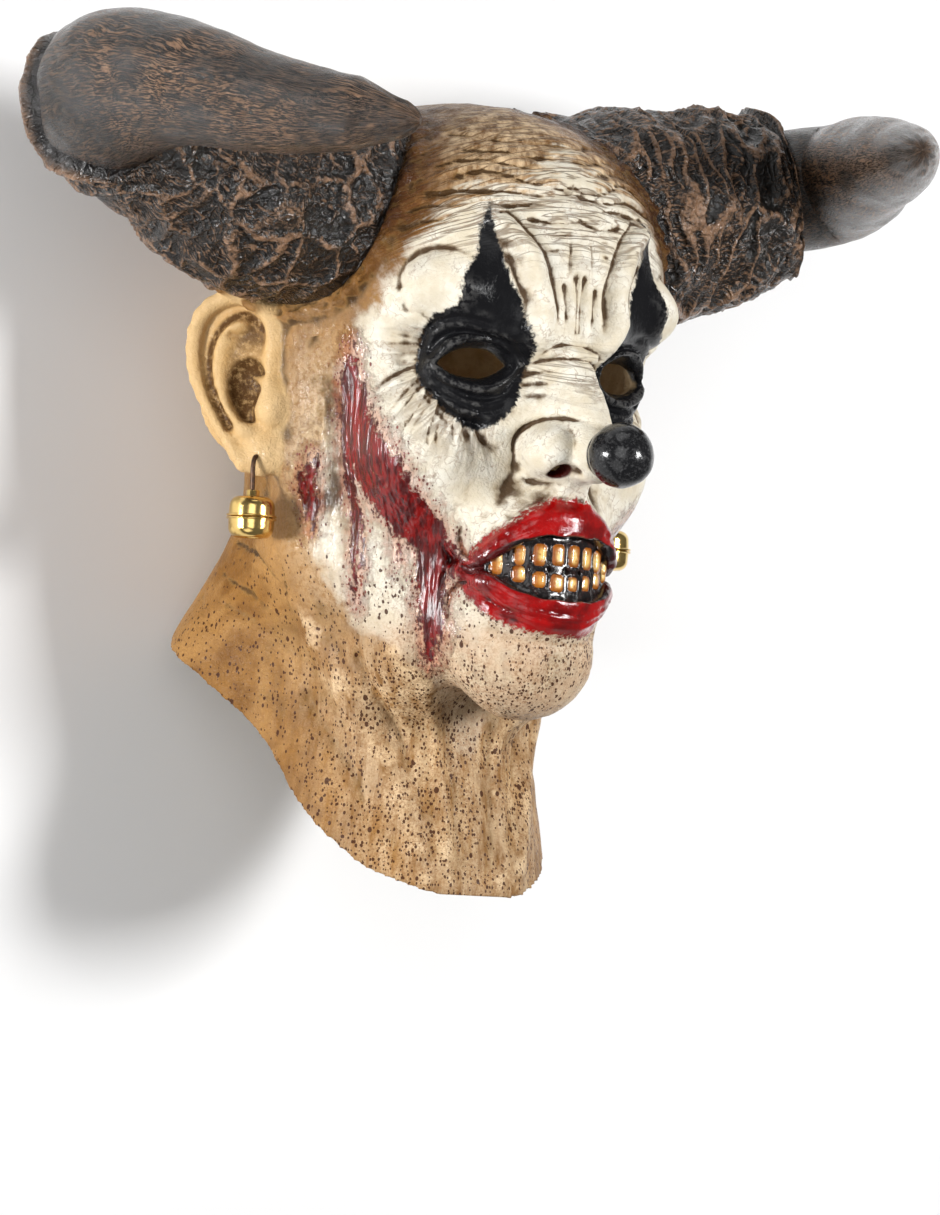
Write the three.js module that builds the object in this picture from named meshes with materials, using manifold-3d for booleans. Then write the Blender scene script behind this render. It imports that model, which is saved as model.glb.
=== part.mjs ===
// Full-head pull-over clown mask with two curled horns and a jingle bell on each ear.
// Lengths are millimetres. The mask is drawn as it is worn and then laid on its back.
// Worn frame: X to the mask's own left, Y to the back of the head, Z to the crown.
// The origin is on the line between the eye holes, above the ear line.
import * as THREE from 'three';
import { mergeVertices } from 'three/addons/utils/BufferGeometryUtils.js';
import Module from 'manifold-3d';

const wasm = await Module();
wasm.setup();

// Driving dimensions
const WALL = 3.2;                 // thickness of the cast skin
const SEAT_GAP = 0.3;             // clearance between pieces that touch
const REST_TILT = 2.5;            // degrees of lean that bring nape and skull down together
const REST_PLANE = 102.0;         // flat spot behind the origin, where the skull rests
const EYE_SPACING = 66;
const EYE_HOLE = { width: 28, height: 15, y: -68, z: -1, turn: 0.22 };
const BALL = { radius: 12.3, y: -123, z: -34 };
const NOSTRIL = { radius: 3.2, length: 36, x: 11, y: -92, z: -37.5, lean: 0.42 };
const WING = { x: 12, y: -93, z: -32.5, size: [10, 15, 10] };
const MOUTH = { width: 56, height: 27, depth: 15, y: -99, z: -75, droop: 3 };
const LIP_RADIUS = 5.2;
const LIP_GROW = 3;               // middle of the lips outside the edge of the opening
const TOOTH = { width: 5.8, height: 8.6, depth: 10, gap: 1, rowCount: 8, y: -87.5, bow: 0.018 };
const TEETH_PARTING = -77;        // height at which the two rows of teeth meet
const EAR = { x: 76, y: -6, z: -11, width: 40, height: 61, plate: 5, rim: 4.2, flare: 32 };
const HORN_WALL = 3.5;
const HORN_HOLLOW = 0.7;          // share of the pointed part that is hollow
const BELL = { radius: 8.7, height: 16, wall: 0.7, flange: 9.7, flangeThickness: 0.8 };
const EYELET = { height: 2.4, radius: 2.6, bore: 1.7 };   // collar on top of the bell
const BELL_DROP = 50.5;             // bell's middle below the middle of the ear
const WIRE_RADIUS = 0.9;

// Signed distances to the simple forms the head is blended from, negative inside
function ellipsoid(p, centre, radii) {
  const x = (p[0] - centre[0]) / radii[0];
  const y = (p[1] - centre[1]) / radii[1];
  const z = (p[2] - centre[2]) / radii[2];
  const near = Math.hypot(x, y, z);
  const slope = Math.hypot(x / radii[0], y / radii[1], z / radii[2]);
  return near * (near - 1) / Math.max(slope, 1e-9);
}

function capsule(p, a, b, radiusA, radiusB) {
  const d = [b[0] - a[0], b[1] - a[1], b[2] - a[2]];
  const q = [p[0] - a[0], p[1] - a[1], p[2] - a[2]];
  const along = (q[0] * d[0] + q[1] * d[1] + q[2] * d[2]) / (d[0] ** 2 + d[1] ** 2 + d[2] ** 2);
  const t = Math.min(Math.max(along, 0), 1);
  const away = Math.hypot(q[0] - t * d[0], q[1] - t * d[1], q[2] - t * d[2]);
  return away - (radiusA + (radiusB - radiusA) * t);
}

function blend(a, b, reach) {
  const h = Math.min(Math.max(0.5 + 0.5 * (b - a) / reach, 0), 1);
  return b + (a - b) * h - reach * h * (1 - h);
}

function between(value, stops, results) {
  if (value <= stops[0]) return results[0];
  for (let i = 1; i < stops.length; i += 1) {
    if (value <= stops[i]) {
      const t = (value - stops[i - 1]) / (stops[i] - stops[i - 1]);
      return results[i - 1] + (results[i] - results[i - 1]) * t;
    }
  }
  return results[results.length - 1];
}

// Level section of the neck: an ellipse whose middle and half-widths change with height
function section(p, middle, halfWidth, halfDepth) {
  const y = p[1] - middle;
  const near = Math.hypot(p[0] / halfWidth, y / halfDepth);
  const slope = Math.hypot(p[0] / halfWidth ** 2, y / halfDepth ** 2);
  return near * (near - 1) / Math.max(slope, 1e-9);
}

function headField(p) {
  const m = [Math.sqrt(p[0] * p[0] + 0.5), p[1], p[2]];
  let f = ellipsoid(p, [0, 8, 25], [78, 97, 81]);                    // skull
  f = blend(f, ellipsoid(p, [0, -30, 48], [66, 56, 50]), 18);        // forehead
  f = blend(f, ellipsoid(p, [0, -20, -42], [58, 56, 68]), 26);       // middle of the face
  f = blend(f, ellipsoid(m, [38, -49, -32], [22, 21, 26]), 16);      // cheeks
  f = blend(f, ellipsoid(p, [0, -65, -108], [19, 20, 24]), 20);      // chin
  f = blend(f, capsule(m, [12, -66, -108], [50, 6, -70], 12, 16), 26);  // jaw line
  f = blend(f, ellipsoid(p, [0, -70, -74], [30, 29, 31]), 14);       // muzzle
  f = blend(f, capsule(m, [10, -78, 16], [46, -60, 22], 10, 10), 12);   // brow
  f = blend(f, ellipsoid(p, [0, -82, -26], [15, 20, 27]), 10);       // root of the nose
  const socket = ellipsoid(m, [33, -80, -1], [16, 11, 10]);
  f = -blend(-f, socket, 8);
  return f;
}

function neckField(p) {
  const z = p[2];
  const throat = section(p, between(z, [-205, -130], [10, 20]), between(z, [-205, -130], [60, 53]),
    between(z, [-205, -130], [55, 50]));
  const heights = [-150, -105, -60, -20];
  const nape = section(p, between(z, heights, [76, 60, 42, 30]), between(z, heights, [84, 73, 55, 52]),
    between(z, heights, [53, 50, 46, 48]));
  const column = blend(throat, nape * 0.9, 25);
  return -blend(-column, -(z + 20), 15);
}

// Whole outside of the skin without the ball nose, ears and lips
function skinField(p) {
  return Math.max(blend(headField(p), neckField(p), 16), -215 - p[2]);
}

// How far a place is beyond the plane the mask rests on
function beyondRest(p) {
  const tilt = THREE.MathUtils.degToRad(REST_TILT);
  return p[1] * Math.cos(tilt) + p[2] * Math.sin(tilt) - REST_PLANE;
}

// Inside of the skin: one wall in, and further in behind the mouth, where the teeth stand
function hollowField(p) {
  const behindMouth = -ellipsoid(p, [0, -92, MOUTH.z], [34, 16, 22]);
  const inside = -blend(-(skinField(p) + WALL), -behindMouth, 6);
  return Math.max(inside, beyondRest(p) + WALL);
}

// A ball whose vertices move out from a spine inside the head until they meet the surface.
// The spine starts in the skull and runs down the middle of the neck.
const SPINE = { parts: [0, 0.25, 0.62, 0.84, 0.96, 1], z: [25, 22, -70, -122, -196, -200], y: [0, 0, 4, 12, 26, 26] };
const LEAN = { parts: [0, 0.25, 0.45, 0.62, 0.84, 0.97, 1], degrees: [90, 0, -8, -34, -38, -4, -90] };
function shrinkWrap(field, around, rings, reach) {
  const g = new THREE.SphereGeometry(1, around, rings);
  const position = g.attributes.position;
  for (let i = 0; i < position.count; i += 1) {
    const down = Math.acos(Math.min(Math.max(position.getY(i), -1), 1)) / Math.PI;
    const turn = Math.atan2(position.getX(i), -position.getZ(i));
    const spread = turn - 0.4 * Math.sin(turn);         // more columns over the face than behind
    const lean = THREE.MathUtils.degToRad(between(down, LEAN.parts, LEAN.degrees));
    const y = between(down, SPINE.parts, SPINE.y);
    const z = between(down, SPINE.parts, SPINE.z);
    const dx = Math.cos(lean) * Math.sin(spread);
    const dy = -Math.cos(lean) * Math.cos(spread);
    const dz = Math.sin(lean);
    const at = (s) => field([dx * s, y + dy * s, z + dz * s]);
    let outer = reach;
    while (at(outer - 2) > 0 && outer > 4) outer -= 2;
    let inner = outer - 2;
    for (let step = 0; step < 24; step += 1) {
      const middle = (inner + outer) / 2;
      if (at(middle) > 0) outer = middle;
      else inner = middle;
    }
    position.setXYZ(i, dx * outer, y + dy * outer, z + dz * outer);
  }
  return g;
}

// Bridge between three.js geometry and solids that can be joined and cut
function solid(geometry, matrix = null) {
  const g = geometry.clone();
  g.deleteAttribute('normal');
  g.deleteAttribute('uv');
  if (matrix) g.applyMatrix4(matrix);
  const merged = mergeVertices(g, 1e-5);
  const index = Array.from(merged.index.array);
  const kept = [];
  for (let i = 0; i < index.length; i += 3) {
    const [a, b, c] = [index[i], index[i + 1], index[i + 2]];
    if (a !== b && b !== c && a !== c) kept.push(a, b, c);
  }
  let volume = 0;
  const v = merged.attributes.position;
  const point = (i) => new THREE.Vector3(v.getX(i), v.getY(i), v.getZ(i));
  for (let i = 0; i < kept.length; i += 3) {
    volume += point(kept[i]).dot(point(kept[i + 1]).cross(point(kept[i + 2])));
  }
  if (volume < 0) {
    for (let i = 0; i < kept.length; i += 3) [kept[i], kept[i + 1]] = [kept[i + 1], kept[i]];
  }
  return new wasm.Manifold(new wasm.Mesh({
    numProp: 3,
    vertProperties: new Float32Array(v.array),
    triVerts: new Uint32Array(kept),
  }));
}

function geometryOf(body) {
  const mesh = body.getMesh();
  const g = new THREE.BufferGeometry();
  g.setAttribute('position', new THREE.BufferAttribute(mesh.vertProperties, 3));
  g.setIndex(new THREE.BufferAttribute(mesh.triVerts, 1));
  return g;
}

function place(x, y, z, rx = 0, ry = 0, rz = 0, sx = 1, sy = 1, sz = 1) {
  const turn = new THREE.Quaternion().setFromEuler(new THREE.Euler(rx, ry, rz, 'ZYX'));
  return new THREE.Matrix4().compose(new THREE.Vector3(x, y, z), turn, new THREE.Vector3(sx, sy, sz));
}

// Edge of the neck seen from the side: low at the throat, high over the shoulders and nape
function belowNeckEdge() {
  const edge = [[-110, -202], [-42, -201], [-26, -192], [5, -166], [28, -142], [51, -121], [76, -109],
    [100, -104], [160, -102]];
  const side = new THREE.Shape(edge.map(([y, z]) => new THREE.Vector2(y, z)));
  side.lineTo(160, -230);
  side.lineTo(-110, -230);
  const g = new THREE.ExtrudeGeometry(side, { depth: 240, bevelEnabled: false });
  return solid(g, new THREE.Matrix4().set(0, 0, 1, -120, 1, 0, 0, 0, 0, 1, 0, 0, 0, 0, 0, 1));
}

function restBlock() {
  const size = 260;
  const tilt = THREE.MathUtils.degToRad(REST_TILT);
  const middle = REST_PLANE + size / 2;
  const g = new THREE.BoxGeometry(size, size, 2 * size);
  return solid(g, place(0, middle * Math.cos(tilt), middle * Math.sin(tilt), tilt, 0, 0));
}

function eyeHole(side) {
  const almond = new THREE.Shape();
  const w = EYE_HOLE.width / 2;
  const h = EYE_HOLE.height / 2;
  almond.moveTo(-w, -1);
  almond.quadraticCurveTo(-w * 0.3, h * 1.7, w, 1);
  almond.quadraticCurveTo(w * 0.2, -h * 1.9, -w, -1);
  const g = new THREE.ExtrudeGeometry(almond, { depth: 50, bevelEnabled: false, curveSegments: 6 });
  // the cut starts inside the head and leaves square to the skin, a little to the side
  const aside = EYE_SPACING / 2 - 25 * Math.tan(EYE_HOLE.turn);
  return solid(g, place(side * aside, EYE_HOLE.y + 25, EYE_HOLE.z, Math.PI / 2, 0, side * EYE_HOLE.turn));
}

// Nose: a ridge from the brow to the ball, with a rounded wing on each side of it
function nose() {
  const ridge = [[0, -64, 24], [0, -80, 6], [0, -93, -14], [0, -108, -33]];
  const bodies = [bentTube(ridge, ringsAlong(0, 1, [8, 9, 10, 11], 5), 10)];
  for (const side of [-1, 1]) {
    bodies.push(solid(new THREE.SphereGeometry(1, 12, 8), place(side * WING.x, WING.y, WING.z, 0.2, 0, 0, ...WING.size)));
  }
  bodies.push(solid(new THREE.SphereGeometry(1, 12, 8), place(0, -93, -31, 0, 0, 0, 12, 25, 11)));
  bodies.push(solid(new THREE.SphereGeometry(BALL.radius, 14, 9), place(0, BALL.y, BALL.z)));
  return wasm.Manifold.union(bodies);
}

function nostril(side) {
  const g = new THREE.CylinderGeometry(NOSTRIL.radius, NOSTRIL.radius, NOSTRIL.length, 8);
  return solid(g, place(side * NOSTRIL.x, NOSTRIL.y, NOSTRIL.z, NOSTRIL.lean, 0, 0));
}

// Height of the parting between the lips, which droops to the corners
function mouthPoint(turn, grow) {
  const x = (MOUTH.width / 2 + grow) * Math.cos(turn);
  const droop = MOUTH.droop * Math.abs(Math.cos(turn)) ** 3;
  const z = MOUTH.z + (MOUTH.height / 2 + grow * 0.6) * Math.sin(turn) - droop;
  return [x, z];
}

// How far forward the skin stands at a given place on the face
function faceDepth(x, z) {
  let y = -140;
  while (skinField([x, y, z]) > 0 && y < 0) y += 0.5;
  return y;
}

function lips() {
  const points = [];
  const count = 14;
  for (let i = 0; i < count; i += 1) {
    const [x, z] = mouthPoint((i / count) * Math.PI * 2, LIP_GROW);
    points.push(new THREE.Vector3(x, faceDepth(x, z) + 1.5, z));
  }
  const path = new THREE.CatmullRomCurve3(points, true);
  return solid(new THREE.TubeGeometry(path, 22, LIP_RADIUS, 6, true));
}

function mouthRecess() {
  const g = new THREE.SphereGeometry(1, 16, 8);
  return solid(g, place(0, MOUTH.y, MOUTH.z, 0, 0, 0, MOUTH.width / 2, MOUTH.depth, MOUTH.height / 2));
}

function teeth() {
  const bodies = [];
  for (let i = 0; i < TOOTH.rowCount; i += 1) {
    const offset = i - (TOOTH.rowCount - 1) / 2;
    const x = offset * (TOOTH.width + TOOTH.gap);
    const back = TOOTH.bow * x * x;
    for (const row of [-1, 1]) {
      const g = new THREE.BoxGeometry(TOOTH.width, TOOTH.depth, TOOTH.height);
      const z = TEETH_PARTING + row * (TOOTH.height + TOOTH.gap) / 2;
      bodies.push(solid(g, place(x, TOOTH.y + back, z, 0, 0, 2 * TOOTH.bow * x)));
    }
  }
  return wasm.Manifold.union(bodies);
}

// The ear is drawn with its width along x and its open side towards -y, then turned out from the head
function earPlace(side) {
  const back = THREE.MathUtils.degToRad(90 - EAR.flare);
  return place(side * (EAR.x + 7), EAR.y + 14, EAR.z, 0.06, 0, side * back, side, 1, 1);
}

const LOBE = { x: -6, z: 6 - EAR.height / 2, radius: 9 };
const HOLE = { x: LOBE.x, z: LOBE.z - 3, radius: 1.6 };

// Ear: a bowl with a rolled rim and a pierced lobe
function ear(side, grow = 0) {
  const half = EAR.width / 2;
  const points = [];
  const count = 12;
  for (let i = 0; i < count; i += 1) {
    const turn = (i / count) * Math.PI * 2;
    const narrow = 1 - 0.36 * Math.max(-Math.sin(turn), 0);
    points.push(new THREE.Vector3(half * narrow * Math.cos(turn), 0, EAR.height / 2 * Math.sin(turn)));
  }
  const outline = new THREE.CatmullRomCurve3(points, true);
  const rim = solid(new THREE.TubeGeometry(outline, 18, EAR.rim + grow, 5, true));
  const plate = solid(new THREE.SphereGeometry(1, 14, 6),
    place(0, 3, 0, Math.PI / 2, 0, 0, half + 1, EAR.height / 2 + 1, EAR.plate + grow));
  const bowl = solid(new THREE.SphereGeometry(1, 10, 6), place(-4, -4, -4, 0, 0, 0, 11, 6, 16));
  const lobe = solid(new THREE.SphereGeometry(1, 10, 6),
    place(LOBE.x, 0, LOBE.z, 0, 0, 0, LOBE.radius, EAR.rim, LOBE.radius));
  const hole = solid(new THREE.CylinderGeometry(HOLE.radius, HOLE.radius, 20, 6), place(HOLE.x, 0, HOLE.z));
  const body = rim.add(plate).subtract(bowl).add(lobe).subtract(hole);
  return body.transform(earPlace(side).toArray());
}

// Horn: path and thickness along it, for the mask's left; the right one differs slightly
const HORN_LEFT = {
  path: [[30, -10, 62], [75, -12, 68], [112, -14, 77], [142, -18, 86], [164, -32, 92], [152, -64, 94],
    [135, -106, 93], [110, -154, 91]],
  sleeve: [41, 44, 39, 33],
  sleeveEnd: 3 / 7,
  horn: [24.5, 24.5, 24, 22.5, 20, 17, 12, 1.2],
};
const HORN_RIGHT = {
  path: [[-30, -10, 56], [-75, -12, 60], [-110, -14, 66], [-138, -19, 76], [-172, -28, 86],
    [-170, -62, 88], [-148, -104, 81], [-114, -148, 76]],
  sleeve: [38, 41, 42, 34, 31],
  sleeveEnd: 4 / 7,
  horn: [28, 27, 24, 21, 18, 15, 11.5, 1.2],
};

// A cylinder bent along a path; each ring has its own place on the path and its own radius
function bentTube(path, rings, around, up = new THREE.Vector3(0, 0, 1)) {
  const curve = new THREE.CatmullRomCurve3(path.map((p) => new THREE.Vector3(...p)));
  const g = new THREE.CylinderGeometry(1, 1, 1, around, rings.length - 1);
  const position = g.attributes.position;
  for (let i = 0; i < position.count; i += 1) {
    const [s, radius] = rings[Math.round((position.getY(i) + 0.5) * (rings.length - 1))];
    const centre = curve.getPoint(s);
    const ahead = curve.getTangent(s);
    const across = new THREE.Vector3().crossVectors(ahead, up).normalize();
    const over = new THREE.Vector3().crossVectors(across, ahead);
    centre.addScaledVector(across, position.getX(i) * radius).addScaledVector(over, position.getZ(i) * radius);
    position.setXYZ(i, centre.x, centre.y, centre.z);
  }
  return solid(g);
}

// Rings evenly spaced from one place on a path to another, with a radius read from even stops
function ringsAlong(from, to, radii, count) {
  const stops = radii.map((r, k) => k / (radii.length - 1));
  return Array.from({ length: count }, (unused, k) => {
    const t = k / (count - 1);
    return [from + (to - from) * t, between(t, stops, radii)];
  });
}

function horn(shape) {
  const end = shape.sleeveEnd;
  const tipEnd = end + (1 - end) * HORN_HOLLOW;
  const outer = [...ringsAlong(0, end, shape.sleeve, 7), ...ringsAlong(end + 0.003, 1, shape.horn, 12)];
  const thin = (radii, wall) => radii.map((r) => r - wall);
  const inner = [...ringsAlong(0, end - 0.03, thin(shape.sleeve, HORN_WALL + 3), 4),
    ...ringsAlong(end, tipEnd, thin(shape.horn.slice(0, 6), HORN_WALL), 6)];
  return bentTube(shape.path, outer, 14).subtract(bentTube(shape.path, inner, 10)).subtract(seat);
}

// Bell: two pressed half shells that meet at a flange, with a recessed cap and an eyelet on top
function bellHalf(upper) {
  const r = BELL.radius;
  const h = BELL.height / 2;
  const w = BELL.wall;
  const seam = SEAT_GAP / 2;
  const outline = [[BELL.flange, seam], [BELL.flange, seam + BELL.flangeThickness], [r, seam + BELL.flangeThickness],
    [r, h * 0.6], [r * 0.76, h], [EYELET.bore, h], [EYELET.bore, h - w], [r * 0.72, h - w], [r - w, h * 0.54], [r - w, seam]];
  const top = h + EYELET.height;
  if (upper) outline.splice(5, 1, [EYELET.radius, h], [EYELET.radius, top], [EYELET.bore, top]);
  const points = outline.map(([x, y]) => new THREE.Vector2(x, y));
  points.push(points[0].clone());
  const g = new THREE.LatheGeometry(points, 10);
  return solid(g, place(0, 0, 0, upper ? Math.PI / 2 : -Math.PI / 2));
}

// Wire that drops from the pierced lobe into the bell's eyelet, drawn in the ear's own frame
const HANG = { y: -7, top: -BELL_DROP + BELL.height / 2 + EYELET.height };
function hookWire(side) {
  const points = [[HANG.y, HANG.top - 1.8], [HANG.y, HANG.top + 3], [HANG.y, HOLE.z - 3], [HANG.y + 1.5, HOLE.z],
    [0, HOLE.z], [-HANG.y - 1, HOLE.z - 0.5], [-HANG.y, HOLE.z - 4]];
  const path = points.map(([y, z]) => [HOLE.x, y, z]);
  const aside = new THREE.Vector3(1, 0, 0);
  const wire = bentTube(path, ringsAlong(0, 1, [WIRE_RADIUS, WIRE_RADIUS], 11), 5, aside);
  return wire.transform(earPlace(side).toArray());
}

function bellPlace(side) {
  const centre = new THREE.Vector3(HOLE.x, HANG.y, -BELL_DROP).applyMatrix4(earPlace(side));
  return new THREE.Matrix4().makeTranslation(centre.x, centre.y, centre.z);
}

const REACH = 170;                // farther than any part of the head from its spine
const AROUND = 34;
const RINGS = 40;
const outside = solid(shrinkWrap(skinField, AROUND, RINGS, REACH));
// what the horns are cut by, so that each one sits on the skin with the clearance left free
const seat = solid(shrinkWrap((p) => skinField(p) - SEAT_GAP, AROUND, RINGS, REACH))
  .add(ear(1, SEAT_GAP)).add(ear(-1, SEAT_GAP));
const hollow = solid(shrinkWrap(hollowField, 22, 30, REACH));

let skin = outside.add(nose()).subtract(hollow).add(lips()).add(ear(1)).add(ear(-1));
skin = skin.subtract(mouthRecess()).add(teeth());
for (const side of [-1, 1]) skin = skin.subtract(eyeHole(side)).subtract(nostril(side));
skin = skin.subtract(belowNeckEdge()).subtract(restBlock());

const MATERIALS = {
  skin: { color: 0xcdb491, roughness: 0.55, metalness: 0 },
  horn: { color: 0x3a302a, roughness: 0.42, metalness: 0 },
  brass: { color: 0xc9a648, roughness: 0.25, metalness: 1 },
  wire: { color: 0x5a4030, roughness: 0.5, metalness: 0.6 },
};

const worn = new THREE.Group();
worn.name = 'clown_mask';
function add(name, body, material) {
  const mesh = new THREE.Mesh(geometryOf(body), new THREE.MeshStandardMaterial(MATERIALS[material]));
  mesh.name = name;
  worn.add(mesh);
  return mesh;
}

add('mask_skin', skin, 'skin');
add('horn_right', horn(HORN_RIGHT), 'horn');
add('horn_left', horn(HORN_LEFT), 'horn');
for (const [name, side] of [['right', -1], ['left', 1]]) {
  const hang = bellPlace(side).toArray();
  add(`bell_${name}_upper`, bellHalf(true).transform(hang), 'brass');
  add(`bell_${name}_lower`, bellHalf(false).transform(hang), 'brass');
  add(`hook_${name}`, hookWire(side), 'wire');
}

// Laid on its back: face up, crown towards +Y, with the origin under the middle of the whole mask
worn.rotation.x = -Math.PI / 2 - THREE.MathUtils.degToRad(REST_TILT);
worn.updateMatrixWorld(true);
const extent = new THREE.Box3().setFromObject(worn, true);
const middle = extent.getCenter(new THREE.Vector3());
worn.position.set(-middle.x, -middle.y, -extent.min.z);

export default worn;
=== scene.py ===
# %% [markdown]
# A rubber clown mask, modelled the way a mask maker thinks about it: one cast skin that is pulled
# over the whole head, two hollow horns glued to it, and a small brass bell that hangs from each ear.
# The mask lies on its back with the face up, so nothing has to be added to hold it.
# Everything is planned in the "worn" frame (X to the mask's own left, Y to the back of the head,
# Z to the crown, in millimetres) and laid down in one step, because a face is easier to read upright.

# %% Load the frame
from math import cos, pi, radians, sin

import bpy
import numpy as np
from mathutils import Matrix, Vector, noise


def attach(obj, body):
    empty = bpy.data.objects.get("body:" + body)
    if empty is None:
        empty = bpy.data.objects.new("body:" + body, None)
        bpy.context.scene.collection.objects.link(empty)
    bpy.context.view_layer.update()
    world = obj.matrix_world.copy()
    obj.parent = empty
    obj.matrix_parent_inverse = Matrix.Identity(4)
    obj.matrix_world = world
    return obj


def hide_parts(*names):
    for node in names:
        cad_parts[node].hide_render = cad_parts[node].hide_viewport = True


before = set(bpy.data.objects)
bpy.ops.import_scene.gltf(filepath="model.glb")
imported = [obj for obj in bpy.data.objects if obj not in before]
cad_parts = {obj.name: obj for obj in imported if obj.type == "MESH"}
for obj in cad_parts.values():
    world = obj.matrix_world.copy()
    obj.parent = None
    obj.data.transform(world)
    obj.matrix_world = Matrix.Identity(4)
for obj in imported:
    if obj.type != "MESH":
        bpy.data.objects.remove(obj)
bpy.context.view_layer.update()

# %% [markdown]
# The mask leans back a little more than a quarter turn, so that the flat spot on the back of the
# skull and the nape of the neck touch the floor together. One matrix does this for every piece.

# %% From the worn frame to the floor
MM = 0.001
REST_TILT = radians(2.5)
WORN_ORIGIN = (6.6002, 40.2815, 102.0)      # where the worn origin comes to lie, mm

turn = Matrix.Rotation(-pi / 2 - REST_TILT, 4, "X")
WORN_TO_ROW = Matrix.Translation([v * MM for v in WORN_ORIGIN]) @ turn @ Matrix.Scale(MM, 4)


def laid_down(points):
    """worn millimetres to metres on the floor"""
    matrix = np.array(WORN_TO_ROW)
    return np.asarray(points, float) @ matrix[:3, :3].T + matrix[:3, 3]


print("eye line lies at", np.round(laid_down([[0, 0, 0]])[0], 4), "m")

# %% [markdown]
# The camera comes first, so that every later choice can be judged through it. It looks at the face
# from the mask's right, level with the eyes, through a long lens that hardly distorts.
# The photograph shows 0.39 mm for each pixel at the depth of the ears.

# %% Camera
IMAGE = (940, 1215)
CAMERA_DISTANCE = 2200.0
MM_PER_PIXEL = 0.39
CAMERA_YAW = radians(34)
CAMERA_ROLL = radians(4)
ORIGIN_PIXEL = (443, 376)                   # where the worn origin stands in the photograph
SENSOR_WIDTH = 36.0

facing = Matrix(((cos(CAMERA_YAW), -sin(CAMERA_YAW), 0), (0, 0, 1), (sin(CAMERA_YAW), cos(CAMERA_YAW), 0)))
head_roll = Matrix.Rotation(CAMERA_ROLL, 3, "Y")
to_camera = facing @ head_roll              # rows: image right, image up, depth
offset = Vector(((IMAGE[0] / 2 - ORIGIN_PIXEL[0]) * MM_PER_PIXEL,
                 (ORIGIN_PIXEL[1] - IMAGE[1] / 2) * MM_PER_PIXEL, -CAMERA_DISTANCE))


def from_camera(right, up, ahead):
    """a place given in camera axes through the worn origin, mm, as a point on the floor's frame"""
    return WORN_TO_ROW @ (to_camera.transposed() @ Vector((right, up, ahead)))


camera = bpy.data.objects.new("camera", bpy.data.cameras.new("camera"))
bpy.context.collection.objects.link(camera)
right, up, ahead = ((WORN_TO_ROW.to_3x3() @ Vector(row)).normalized() for row in to_camera)
pose = Matrix((right, up, -ahead)).transposed().to_4x4()
pose.translation = from_camera(*offset)
camera.matrix_world = pose
camera.data.sensor_width = SENSOR_WIDTH
camera.data.lens = SENSOR_WIDTH * CAMERA_DISTANCE / MM_PER_PIXEL / max(IMAGE)
camera.data.clip_end = 20
bpy.context.scene.camera = camera
print("camera at", [round(v, 3) for v in camera.location], "lens", round(camera.data.lens, 1), "mm")

# %% [markdown]
# A finish in Blender is a tree of nodes. So that a long recipe stays readable, an output of a node is
# wrapped as a Value that can be added, taken away and multiplied like a number, and each such sum
# places one Math node.

# %% Tools for meshes and nodes
def make_object(name, vertices, faces, smooth=True):
    mesh = bpy.data.meshes.new(name)
    mesh.from_pydata([tuple(v) for v in vertices], [], [tuple(int(i) for i in f) for f in faces])
    mesh.validate()
    if smooth:
        mesh.shade_smooth()
    made = bpy.data.objects.new(name, mesh)
    bpy.context.collection.objects.link(made)
    return made


class Value:
    """an output of a node, which can be reckoned with"""

    def __init__(self, socket):
        self.socket = socket
        self.tree = socket.id_data

    def __add__(self, other):
        return calc("ADD", self, other)

    def __sub__(self, other):
        return calc("SUBTRACT", self, other)

    def __rsub__(self, other):
        return calc("SUBTRACT", other, self)

    def __mul__(self, other):
        return calc("MULTIPLY", self, other)


def plug(made, inputs):
    """plugs values into a node's inputs, and types in numbers and colours"""
    for name, value in inputs.items():
        socket = made.inputs[name]
        if isinstance(value, Value):
            value.tree.links.new(value.socket, socket)
        else:
            socket.default_value = (*value, 1) if socket.type == "RGBA" else value


def node(tree, kind, inputs=None, **settings):
    """places a node, makes its settings and fills in its inputs"""
    made = tree.nodes.new(kind)
    for name, value in settings.items():
        setattr(made, name, value)
    plug(made, inputs or {})
    return made


def calc(operation, *values):
    """a Math node between values and numbers"""
    tree = next(value.tree for value in values if isinstance(value, Value))
    return Value(node(tree, "ShaderNodeMath", dict(enumerate(values)), operation=operation).outputs[0])


def new_material(name):
    material = bpy.data.materials.new(name)
    material.use_nodes = True
    tree = material.node_tree
    tree.nodes.clear()
    shader = node(tree, "ShaderNodeBsdfPrincipled")
    node(tree, "ShaderNodeOutputMaterial", {"Surface": Value(shader.outputs[0])})
    return material, tree, shader


print("tools for meshes and nodes ready")

# %% [markdown]
# A plain pale floor and six soft lights, as in a small studio. The ball nose works like a mirror:
# its two soft spots sit left and right of the middle, which puts one light at 50 to 60 degrees on
# each side of the camera. One more stands far out on the left and draws the wet glints on the cheek
# and the horn. The three weak ones, in front, above the crown and below the chin, open the shadows.

# %% Floor and lights
FLOOR_HALF = 3.0
WORLD_LIGHT = 0.16

corners = [(x * FLOOR_HALF, y * FLOOR_HALF, 0) for x, y in ((-1, -1), (1, -1), (1, 1), (-1, 1))]
floor = make_object("floor", corners, [(0, 1, 2, 3)], smooth=False)
floor_paint, tree, shader = new_material("floor_paint")
plug(shader, {"Base Color": (0.86, 0.86, 0.86), "Roughness": 0.9})
floor.data.materials.append(floor_paint)


def soft_light(name, right, up, ahead, size, watts):
    """a square area light at a place in camera axes, in mm; its size is in metres"""
    lamp = bpy.data.lights.new(name, "AREA")
    lamp.size = size
    lamp.energy = watts
    made = bpy.data.objects.new(name, lamp)
    bpy.context.collection.objects.link(made)
    made.location = from_camera(right, up, ahead)
    aim = WORN_TO_ROW @ Vector((0, -20, -30)) - made.location
    made.rotation_euler = aim.to_track_quat("-Z", "Y").to_euler()


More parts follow.
